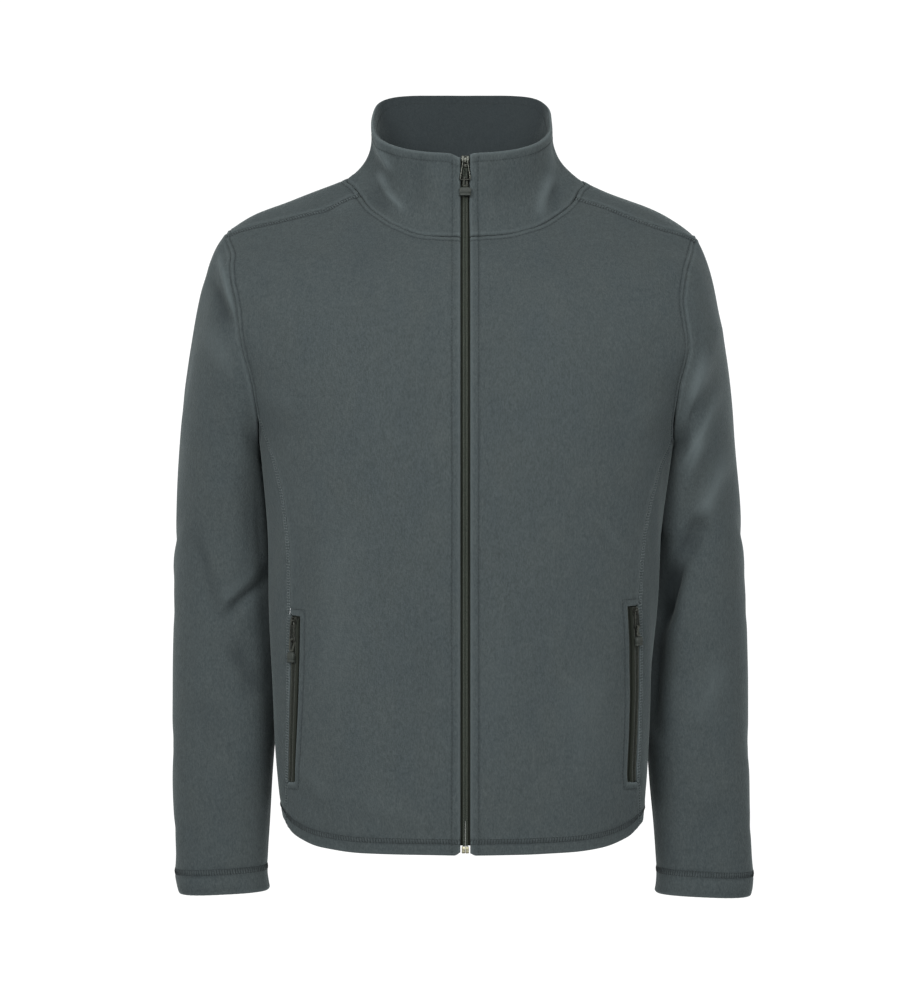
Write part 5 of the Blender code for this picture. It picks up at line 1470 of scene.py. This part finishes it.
def block(bm, size, middle, bevel=0.0004, narrow=1.0):
    """A block with rounded edges, its lower end narrower than its upper."""
    made = bmesh.ops.create_cube(bm, size=1.0)["verts"]
    bmesh.ops.scale(bm, vec=size, verts=made)
    for vert in made:
        if vert.co.y < 0:
            vert.co.x *= narrow
    bmesh.ops.translate(bm, vec=middle, verts=made)
    bevelled(bm, made, bevel)


def arch(bm, outline, thick):
    """A plate with this outline in up and out, and this thickness across."""
    face = bm.faces.new([bm.verts.new((-thick / 2, y, z)) for y, z in outline])
    made = bmesh.ops.extrude_face_region(bm, geom=[face], use_keep_orig=True)["geom"]
    moved = [v for v in made if isinstance(v, bmesh.types.BMVert)]
    bmesh.ops.translate(bm, vec=(thick, 0, 0), verts=moved)
    bevelled(bm, list(face.verts) + moved, 0.00035, 2)


def slider(name, node, matrix, coil_deep, behind, metal):
    """A slider: the plate in front of the chain with its turned-down sides, a spine, the crown that
    holds the pull and, where behind is given, the post and the back plate."""
    low = -coil_deep + SEAM
    top = low + PLATE_THICK
    over = top + HINGE_OVER
    bm = bmesh.new()
    block(bm, (PLATE_WIDE, PLATE_LONG, PLATE_THICK), (0, 0, (low + top) / 2), 0.0005, PLATE_TAPER)
    block(bm, (SPINE_WIDE, PLATE_LONG * 0.86, SPINE_TALL), (0, 0, top), 0.0003, 0.8)
    for side in SIDES:
        block(bm, (FLANGE, PLATE_LONG * 0.5, FLANGE_DEEP), (side * (PLATE_WIDE - FLANGE) / 2, 0.0026, low),
              0.0003)
    roof, eave = over + WIRE + 0.0014, over + WIRE + 0.0004
    sunk = top - PLATE_THICK / 2
    arch(bm, [(-0.0026, sunk), (-0.0020, roof - 0.0008), (-0.0008, roof), (0.0036, roof),
              (0.0050, roof - 0.0010), (0.0056, sunk), (0.0040, sunk), (0.0034, eave), (-0.0006, eave),
              (-0.0014, sunk)], CROWN_WIDE)
    if behind is not None:
        end = PLATE_LONG / 2
        deepest = -behind - SEAM - PLATE_THICK
        block(bm, (POST_WIDE, POST_LONG, sunk - deepest - PLATE_THICK / 2),
              (0, end - POST_LONG / 2, (sunk + deepest + PLATE_THICK / 2) / 2), 0.0003)
        block(bm, (PLATE_WIDE, PLATE_LONG - 0.0002, PLATE_THICK), (0, -0.0001, deepest + PLATE_THICK / 2),
              0.0004, PLATE_TAPER)
    bmesh.ops.recalc_face_normals(bm, faces=bm.faces)
    bmesh.ops.transform(bm, matrix=matrix, verts=bm.verts)
    new_object(name, to_mesh(bm, name, 45), metal, [node])
    return matrix @ Matrix.Translation((0, HINGE_UP, over))


def rounded_loop(corners, radius, steps=6):
    """The corners of a loop, each turned into a short arc."""
    points = []
    for before, corner, after in zip(corners[-1:] + corners[:-1], corners, corners[1:] + corners[:1]):
        first = corner + (before - corner).normalized() * radius
        last = corner + (after - corner).normalized() * radius
        for step in range(steps + 1):
            t = step / steps
            points.append(first * (1 - t) ** 2 + corner * 2 * t * (1 - t) + last * t * t)
    return points


def tube(name, node, points, radius, material, matrix, rides):
    """A closed loop of round wire or cord. Its mesh is bevelled from a curve."""
    data = round_curve(name, radius, 4, False)
    line = data.splines.new("POLY")
    line.points.add(len(points) - 1)
    for point, place in zip(line.points, points):
        point.co = (*(matrix @ place), 1)
    line.use_cyclic_u = True
    new_object(name, curve_to_mesh(name, data), material, [node], rides)


def grip(name, node, matrix, wide, long, thick, middle, top, material, rides):
    """A moulded grip: a rounded block with a groove near its lower edge and a narrowed neck."""
    bm = bmesh.new()
    made = bmesh.ops.create_cube(bm, size=1.0)["verts"]
    bmesh.ops.scale(bm, vec=(wide, long, thick), verts=made)
    bevelled(bm, made, 0.0009, 3)
    for level in (NECK_CUT, 0.30, GROOVE + 0.06, GROOVE, GROOVE - 0.06):
        bmesh.ops.bisect_plane(bm, geom=bm.verts[:] + bm.edges[:] + bm.faces[:], dist=1e-7,
                               plane_co=(0, level * long, 0), plane_no=(0, 1, 0))
    for vert in bm.verts:
        if abs(vert.co.y - GROOVE * long) < 1e-5:
            vert.co.x *= GROOVE_LEFT[0]
            vert.co.z *= GROOVE_LEFT[1]
        if vert.co.y > (NECK_CUT - 0.01) * long:
            vert.co.x *= NECK_LEFT[0]
            vert.co.z *= NECK_LEFT[1]
    bmesh.ops.translate(bm, vec=(0, top - long / 2, middle), verts=bm.verts)
    bmesh.ops.transform(bm, matrix=matrix, verts=bm.verts)
    bmesh.ops.recalc_face_normals(bm, faces=bm.faces)
    new_object(name, to_mesh(bm, name, 50), material, [node], rides)


def pull(prefix, matrix, sizes, metal, cord_material, rubber, rides):
    """A wire link in the slider's crown, a loop of cord and a moulded grip, on one hinge."""
    link, foot, swing = sizes["link"], sizes["foot"], sizes["swing"]
    corners = [Vector((-sizes["top"], 0, 0)), Vector((sizes["top"], 0, 0)),
               Vector((foot, -link, swing)), Vector((-foot, -link, swing))]
    tube(prefix + "_wire", prefix + "_link", rounded_loop(corners, WIRE_BEND), WIRE, metal, matrix,
         rides)
    reach = WIRE + SEAM + CORD
    cord_low = sizes["cord"] - CORD - SEAM / 2
    middle = sizes["proud"] + sizes["thick"] / 2
    near, spread = CORD * 1.6, CORD * 2
    corners = [Vector(corner) for corner in (
        (near / 2, -link + reach, swing - reach), (near, -link - reach, swing - reach),
        (spread, -cord_low, middle), (-spread, -cord_low, middle),
        (-near, -link - reach, swing + reach), (-near / 2, -link + reach, swing + reach))]
    tube(prefix + "_cord_loop", prefix + "_cord", rounded_loop(corners, CORD_BEND), CORD, cord_material,
         matrix, rides)
    grip(prefix + "_rubber", prefix + "_grip", matrix, sizes["wide"], sizes["grip"], sizes["thick"], middle,
         -sizes["cord"] - SEAM, rubber, rides)


def zip_end(side, node, metal):
    """The pin or the box at the zip's lower end."""
    face = zip_face(np.array(ZIP_X), np.array(ZIP_LOW), np.array(0.0))
    matrix = (Matrix.Translation((ZIP_X, face[1] + 0.0013 + BOX_THICK / 2, ZIP_LOW + BOX_TALL / 2))
              @ Matrix.Rotation(math.pi / 2, 4, "X"))
    bm = bmesh.new()
    wide = BOX_WIDE - SEAM
    block(bm, (wide, BOX_TALL, BOX_THICK), (side * BOX_WIDE / 2, 0, 0), 0.0006)
    for level in (-0.0016, 0.0014):
        block(bm, (wide * 0.8, 0.0009, 0.0005), (side * BOX_WIDE / 2, level, BOX_THICK / 2), 0.0002)
    bmesh.ops.transform(bm, matrix=matrix, verts=bm.verts)
    bmesh.ops.recalc_face_normals(bm, faces=bm.faces)
    new_object(node + "_metal", to_mesh(bm, node + "_metal", 45), metal, [node])


# ---- materials

# The sockets of a mix node that belong to colours.
MIX_FACTOR, MIX_FIRST, MIX_SECOND, MIX_RESULT = 0, 6, 7, 2


class Finish:
    """A material whose nodes are added one after the other."""

    def __init__(self, name, roughness, metallic=0.0, **sockets):
        self.material = bpy.data.materials.new(name)
        self.material.use_nodes = True
        self.tree = self.material.node_tree
        self.shader = self.tree.nodes["Principled BSDF"]
        self.shader.inputs["Roughness"].default_value = roughness
        self.shader.inputs["Metallic"].default_value = metallic
        for socket, value in sockets.items():
            self.shader.inputs[socket.replace("_", " ")].default_value = value
        self.place = self.tree.nodes.new("ShaderNodeTexCoord").outputs["Object"]

    def add(self, kind, links=(), **values):
        node = self.tree.nodes.new(kind)
        for name, value in values.items():
            if name in node.inputs:
                node.inputs[name].default_value = value
            else:
                setattr(node, name, value)
        for socket, source in links:
            self.tree.links.new(source, node.inputs[socket])
        return node

    def stretched(self, scale):
        node = self.add("ShaderNodeMapping", [("Vector", self.place)])
        node.inputs["Scale"].default_value = scale
        return node.outputs["Vector"]

    def noise(self, scale, detail=3.0, rough=0.55, stretch=(1, 1, 1)):
        node = self.add("ShaderNodeTexNoise", [("Vector", self.stretched(stretch))])
        node.inputs["Scale"].default_value = scale
        node.inputs["Detail"].default_value = detail
        node.inputs["Roughness"].default_value = rough
        return node.outputs["Fac"]

    def spots(self, scale, stretch=(1, 1, 1)):
        node = self.add("ShaderNodeTexVoronoi", [("Vector", self.stretched(stretch))])
        node.inputs["Scale"].default_value = scale
        return node.outputs["Distance"]

    def bands(self, scale, direction, distortion=0.0):
        node = self.add("ShaderNodeTexWave", [("Vector", self.place)])
        node.bands_direction = direction
        node.inputs["Scale"].default_value = scale
        node.inputs["Distortion"].default_value = distortion
        return node.outputs["Fac"]

    def ramp(self, source, *stops):
        node = self.add("ShaderNodeValToRGB", [("Fac", source)])
        elements = node.color_ramp.elements
        while len(elements) < len(stops):
            elements.new(0.5)
        for element, (place, colour) in zip(elements, stops):
            element.position = place
            element.color = (*colour, 1)
        return node.outputs["Color"]

    def mottle(self, scale, detail, dark, pale):
        """Soft spots of two colours."""
        return self.ramp(self.noise(scale, detail), (0.3, dark), (0.7, pale))

    def blend(self, factor, first, second):
        """Mixes two colours. Each value is a socket or a constant."""
        node = self.tree.nodes.new("ShaderNodeMix")
        node.data_type = "RGBA"
        for index, value in ((MIX_FACTOR, factor), (MIX_FIRST, first), (MIX_SECOND, second)):
            if isinstance(value, bpy.types.NodeSocket):
                self.tree.links.new(value, node.inputs[index])
            elif index == MIX_FACTOR:
                node.inputs[index].default_value = value
            else:
                node.inputs[index].default_value = (*value, 1)
        return node.outputs[MIX_RESULT]

    def colour(self, source):
        self.tree.links.new(source, self.shader.inputs["Base Color"])

    def rough(self, source, low, high):
        node = self.add("ShaderNodeMapRange", [("Value", source)])
        node.inputs["To Min"].default_value = low
        node.inputs["To Max"].default_value = high
        self.tree.links.new(node.outputs["Result"], self.shader.inputs["Roughness"])

    def bump(self, *layers):
        """Each layer is its height and how deep it is in metres."""
        normal = None
        for source, deep in layers:
            node = self.add("ShaderNodeBump", [("Height", source)])
            node.inputs["Strength"].default_value = 1.0
            node.inputs["Distance"].default_value = deep
            if normal is not None:
                self.tree.links.new(normal, node.inputs["Normal"])
            normal = node.outputs["Normal"]
        self.tree.links.new(normal, self.shader.inputs["Normal"])


def fleece_finish():
    """Brushed slate-grey fleece: a heathered nap with an upright grain and small pills, paler where the
    edges are rubbed and with painted highlight where the cloth stands out, and painted shade in the seams,
    stitch channels, crease hollows and on the collar's inner face."""
    finish = Finish("slate_fleece", 0.95, Specular_IOR_Level=0.15, Sheen_Weight=0.24, Sheen_Roughness=0.40,
                    Sheen_Tint=(0.72, 0.84, 0.84, 1))
    grain = finish.noise(820, 2.0, 0.6, (1, 1, 0.40))
    heather = finish.noise(300, 4.0, 0.7, (1, 1, 0.45))
    clouds = finish.noise(34, 4.0, 0.6, (1, 1, 0.6))
    pills = finish.spots(560)
    tone = finish.ramp(heather, (0.30, (0.044, 0.056, 0.059)), (0.70, (0.076, 0.092, 0.094)))
    tone = finish.blend(0.35, tone, finish.ramp(clouds, (0.30, (0.048, 0.062, 0.068)),
                                                (0.70, (0.070, 0.081, 0.078))))
    tone = finish.blend(0.30, tone, finish.ramp(grain, (0.34, (0.030, 0.038, 0.040)),
                                                (0.66, (0.092, 0.112, 0.114))))
    wear_and_painted_light = finish.add("ShaderNodeAttribute", attribute_name="wear_and_painted_light").outputs["Fac"]
    # rubbed nap and painted highlight: values above 0 blend toward a pale tone
    tone = finish.blend(finish.ramp(wear_and_painted_light, (0.0, (0, 0, 0)), (0.8, (0.75, 0.75, 0.75))), tone,
                        (0.105, 0.128, 0.132))
    # painted shade: values below 0 blend toward near black
    sunk = finish.add("ShaderNodeMapRange", [("Value", wear_and_painted_light)])
    sunk.inputs["From Min"].default_value = -0.9
    sunk.inputs["From Max"].default_value = 0.0
    sunk.inputs["To Min"].default_value = 0.75
    sunk.inputs["To Max"].default_value = 0.0
    tone = finish.blend(sunk.outputs["Result"], tone, (0.022, 0.028, 0.031))
    finish.colour(tone)
    finish.bump((clouds, 0.0007), (pills, 0.00026), (grain, 0.00040))
    return finish.material


def thread_finish(name, dark, pale):
    """Spun sewing thread."""
    finish = Finish(name, 0.7, Specular_IOR_Level=0.3)
    finish.colour(finish.mottle(1500, 1.0, dark, pale))
    finish.bump((finish.noise(4000, 1.0), 0.00005))
    return finish.material


def tape_finish(name, dark, pale):
    """Woven zip tape, a fine herringbone."""
    finish = Finish(name, 0.85, Specular_IOR_Level=0.25, Sheen_Weight=0.08)
    weft = finish.bands(420, "Z", 1.5)
    warp = finish.bands(640, "X", 1.0)
    woven = finish.blend(0.5, weft, warp)
    finish.colour(finish.ramp(woven, (0.25, dark), (0.75, pale)))
    finish.bump((woven, 0.00012))
    return finish.material


def loop_finish(name, dark, pale):
    """Olive loops of the knitted tape edge."""
    finish = Finish(name, 0.55, Specular_IOR_Level=0.4)
    finish.colour(finish.mottle(900, 2.0, dark, pale))
    return finish.material


def metal_finish(name, low, high, roughness):
    """Plated metal, clouded and a little scratched."""
    finish = Finish(name, roughness[0], 1.0)
    cloud = finish.noise(350, 4.0, 0.6)
    finish.colour(finish.ramp(cloud, (0.3, low), (0.7, high)))
    finish.rough(finish.noise(900, 3.0), *roughness)
    finish.bump((finish.noise(1800, 2.0, 0.6, (1, 1, 0.2)), 0.00002))
    return finish.material


def cord_finish():
    """Braided cord: two slanting bands that cross."""
    finish = Finish("dark_cord", 0.8, Sheen_Weight=0.1)
    braid = finish.blend(0.5, finish.bands(900, "DIAGONAL"), finish.bands(1100, "Z"))
    finish.colour(finish.ramp(braid, (0.3, (0.020, 0.024, 0.018)), (0.75, (0.085, 0.092, 0.072))))
    finish.bump((braid, 0.00018))
    return finish.material


def rubber_finish():
    finish = Finish("grey_rubber", 0.6, Specular_IOR_Level=0.35)
    grain = finish.noise(1600, 3.0)
    finish.colour(finish.mottle(300, 3.0, (0.030, 0.036, 0.031), (0.050, 0.058, 0.051)))
    finish.rough(grain, 0.5, 0.72)
    finish.bump((grain, 0.00006))
    return finish.material


def backdrop_finish():
    """Paper that looks pale by its own glow: it emits brightly where it lies behind the jacket and dimly in
    front, over a dark grey colour.
    """
    finish = Finish("glowing_backdrop", 0.9, Specular_IOR_Level=0.1, Emission_Color=(1, 1, 1, 1))
    across = finish.add("ShaderNodeSeparateXYZ", [("Vector", finish.place)]).outputs["Y"]
    glow = finish.add("ShaderNodeMapRange", [("Value", across)])
    glow.inputs["From Min"].default_value, glow.inputs["From Max"].default_value = GLOW_FROM
    glow.inputs["To Min"].default_value, glow.inputs["To Max"].default_value = DIM, GLOW
    finish.tree.links.new(glow.outputs["Result"], finish.shader.inputs["Emission Strength"])
    finish.colour(finish.mottle(3.0, 2.0, (0.09, 0.09, 0.09), (0.11, 0.11, 0.11)))
    return finish.material


# ---- the studio

CAMERA_AWAY, CAMERA_HEIGHT = 3.1, -0.3278
PIXEL = 0.001034           # size of a pixel at the jacket's middle
PICTURE_WIDE, SENSOR = 923, 36.0
FLOOR = -0.90
WALL, WALL_TOP, SWEEP = 5.0, 3.6, 0.8     # radius and top of the backdrop's wall, radius of its foot
GLOW, DIM = 1.0, 0.2       # how brightly the backdrop glows behind the jacket, and in front of it
GLOW_FROM = (-0.1, 0.3)    # the depths between which one gives way to the other
LAMPS = (
    ("key", (-1.3, -2.7, 0.6), 1.3, 52),
    ("fill", (1.0, -3.0, 0.5), 1.3, 48),
    ("top", (0, -1.6, 2.0), 1.4, 7),
)
AIM = (0, 0, -0.35)        # what they face


def lamp(name, place, size, power):
    """A square soft light that faces the jacket."""
    made = bpy.data.objects.new(name, bpy.data.lights.new(name, "AREA"))
    made.data.size = size
    made.data.energy = power
    made.location = place
    made.rotation_euler = (Vector(AIM) - Vector(place)).to_track_quat("-Z", "Y").to_euler()
    bpy.context.scene.collection.objects.link(made)


def backdrop():
    """A round floor, pale by its own glow, that sweeps up into a wall all round."""
    steps, turns = 10, 64
    profile = [(0.0, FLOOR)]
    for step in range(steps + 1):
        angle = math.pi / 2 * step / steps
        profile.append((WALL - SWEEP + SWEEP * math.sin(angle), FLOOR + SWEEP - SWEEP * math.cos(angle)))
    profile.append((WALL, WALL_TOP))
    bm = bmesh.new()
    verts = [bm.verts.new((x, 0, z)) for x, z in profile]
    edges = [bm.edges.new(pair) for pair in zip(verts, verts[1:])]
    bmesh.ops.spin(bm, geom=verts + edges, cent=(0, 0, 0), axis=(0, 0, 1), angle=2 * math.pi, steps=turns)
    bmesh.ops.remove_doubles(bm, verts=bm.verts, dist=1e-5)
    bmesh.ops.recalc_face_normals(bm, faces=bm.faces)
    bmesh.ops.reverse_faces(bm, faces=bm.faces)
    sweep = bpy.data.objects.new("sweep", to_mesh(bm, "sweep"))
    bpy.context.scene.collection.objects.link(sweep)
    sweep.data.materials.append(backdrop_finish())


def studio():
    camera = bpy.data.objects.new("camera", bpy.data.cameras.new("camera"))
    camera.location = (0, -CAMERA_AWAY, CAMERA_HEIGHT)
    camera.rotation_euler = (math.pi / 2, 0, 0)
    camera.data.sensor_fit = "HORIZONTAL"
    camera.data.sensor_width = SENSOR
    camera.data.lens = SENSOR * CAMERA_AWAY / (PICTURE_WIDE * PIXEL)
    camera.data.clip_end = 100
    bpy.context.scene.collection.objects.link(camera)
    bpy.context.scene.camera = camera
    bpy.context.scene.view_settings.view_transform = "Standard"
    world = bpy.data.worlds.new("studio")
    world.use_nodes = True
    world.node_tree.nodes["Background"].inputs["Color"].default_value = (1, 1, 1, 1)
    world.node_tree.nodes["Background"].inputs["Strength"].default_value = DIM
    bpy.context.scene.world = world
    for name, place, size, power in LAMPS:
        lamp(name, place, size, power)
    backdrop()


def sew_cloth():
    """The six pieces of cloth."""
    fleece = fleece_finish()
    # The slate thread is darker than the cloth; on the topstitches its darkness is partly painted shade of
    # the puckered grooves they lie in.
    thread = thread_finish("slate_thread", (0.014, 0.018, 0.019), (0.034, 0.042, 0.044))
    pale_thread = thread_finish("pale_thread", (0.090, 0.112, 0.114), (0.150, 0.178, 0.180))
    white_thread = thread_finish("white_thread", (0.60, 0.62, 0.64), (0.86, 0.88, 0.90))
    for side, word in SIDES.items():
        front_panel(side, fleece, thread)
        sleeve(side, fleece, thread)
    back_panel(fleece, thread, pale_thread, white_thread)
    collar(fleece, thread)


def fit_zips():
    """The three zips, with their sliders and pulls."""
    tape = tape_finish("olive_tape", (0.010, 0.013, 0.009), (0.026, 0.031, 0.023))
    edge = tape_finish("olive_tape_edge", (0.014, 0.017, 0.012), (0.038, 0.044, 0.034))
    loops = loop_finish("olive_loops", (0.035, 0.045, 0.035), (0.085, 0.102, 0.080))
    dark_loops = loop_finish("dark_loops", (0.026, 0.031, 0.025), (0.062, 0.070, 0.058))
    cord_material, rubber = cord_finish(), rubber_finish()
    metal = metal_finish("dark_metal", (0.045, 0.048, 0.042), (0.100, 0.105, 0.092), (0.28, 0.45))
    pale = metal_finish("pale_metal", (0.38, 0.36, 0.24), (0.58, 0.56, 0.40), (0.28, 0.45))
    chain("front_zip_chain", "front_zip_coil", front_zip_line(), ZIP_TAPE_DEEP, COIL_WIDE, 0.0, edge, loops)
    for side, node in ((RIGHT, "front_zip_pin"), (LEFT, "front_zip_box")):
        zip_end(side, node, pale)
    tape_deep = ZIP_TAPE_DEEP + COLLAR_MORE
    hinge = slider("front_slider_metal", "front_slider", front_frame(), tape_deep - SEAM - COIL_THICK,
                   tape_deep + TAPE, metal)
    pull("front_pull", hinge, PULLS["front"], metal, cord_material, rubber, "front_pull")
    for side, word in SIDES.items():
        chain("pocket_zip_chain_" + word, "pocket_zip_coil_" + word, pocket_zip_line(side),
              POCKET_TAPE_DEEP, POCKET_CHAIN, POCKET_CHAIN_PROUD, tape, dark_loops)
        hinge = slider("pocket_slider_%s_metal" % word, "pocket_slider_" + word, pocket_frame(side),
                       POCKET_TAPE_DEEP - SEAM - COIL_THICK, None, metal)
        pull("pocket_pull_" + word, hinge, PULLS[word], metal, cord_material, rubber, word + "_pocket_pull")
    for word in SIDES.values():
        for kind in ("front_zip_tape_", "pocket_zip_tape_"):
            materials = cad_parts[kind + word].data.materials
            materials.clear()
            materials.append(tape)


studio()
sew_cloth()
fit_zips()
bpy.context.view_layer.update()
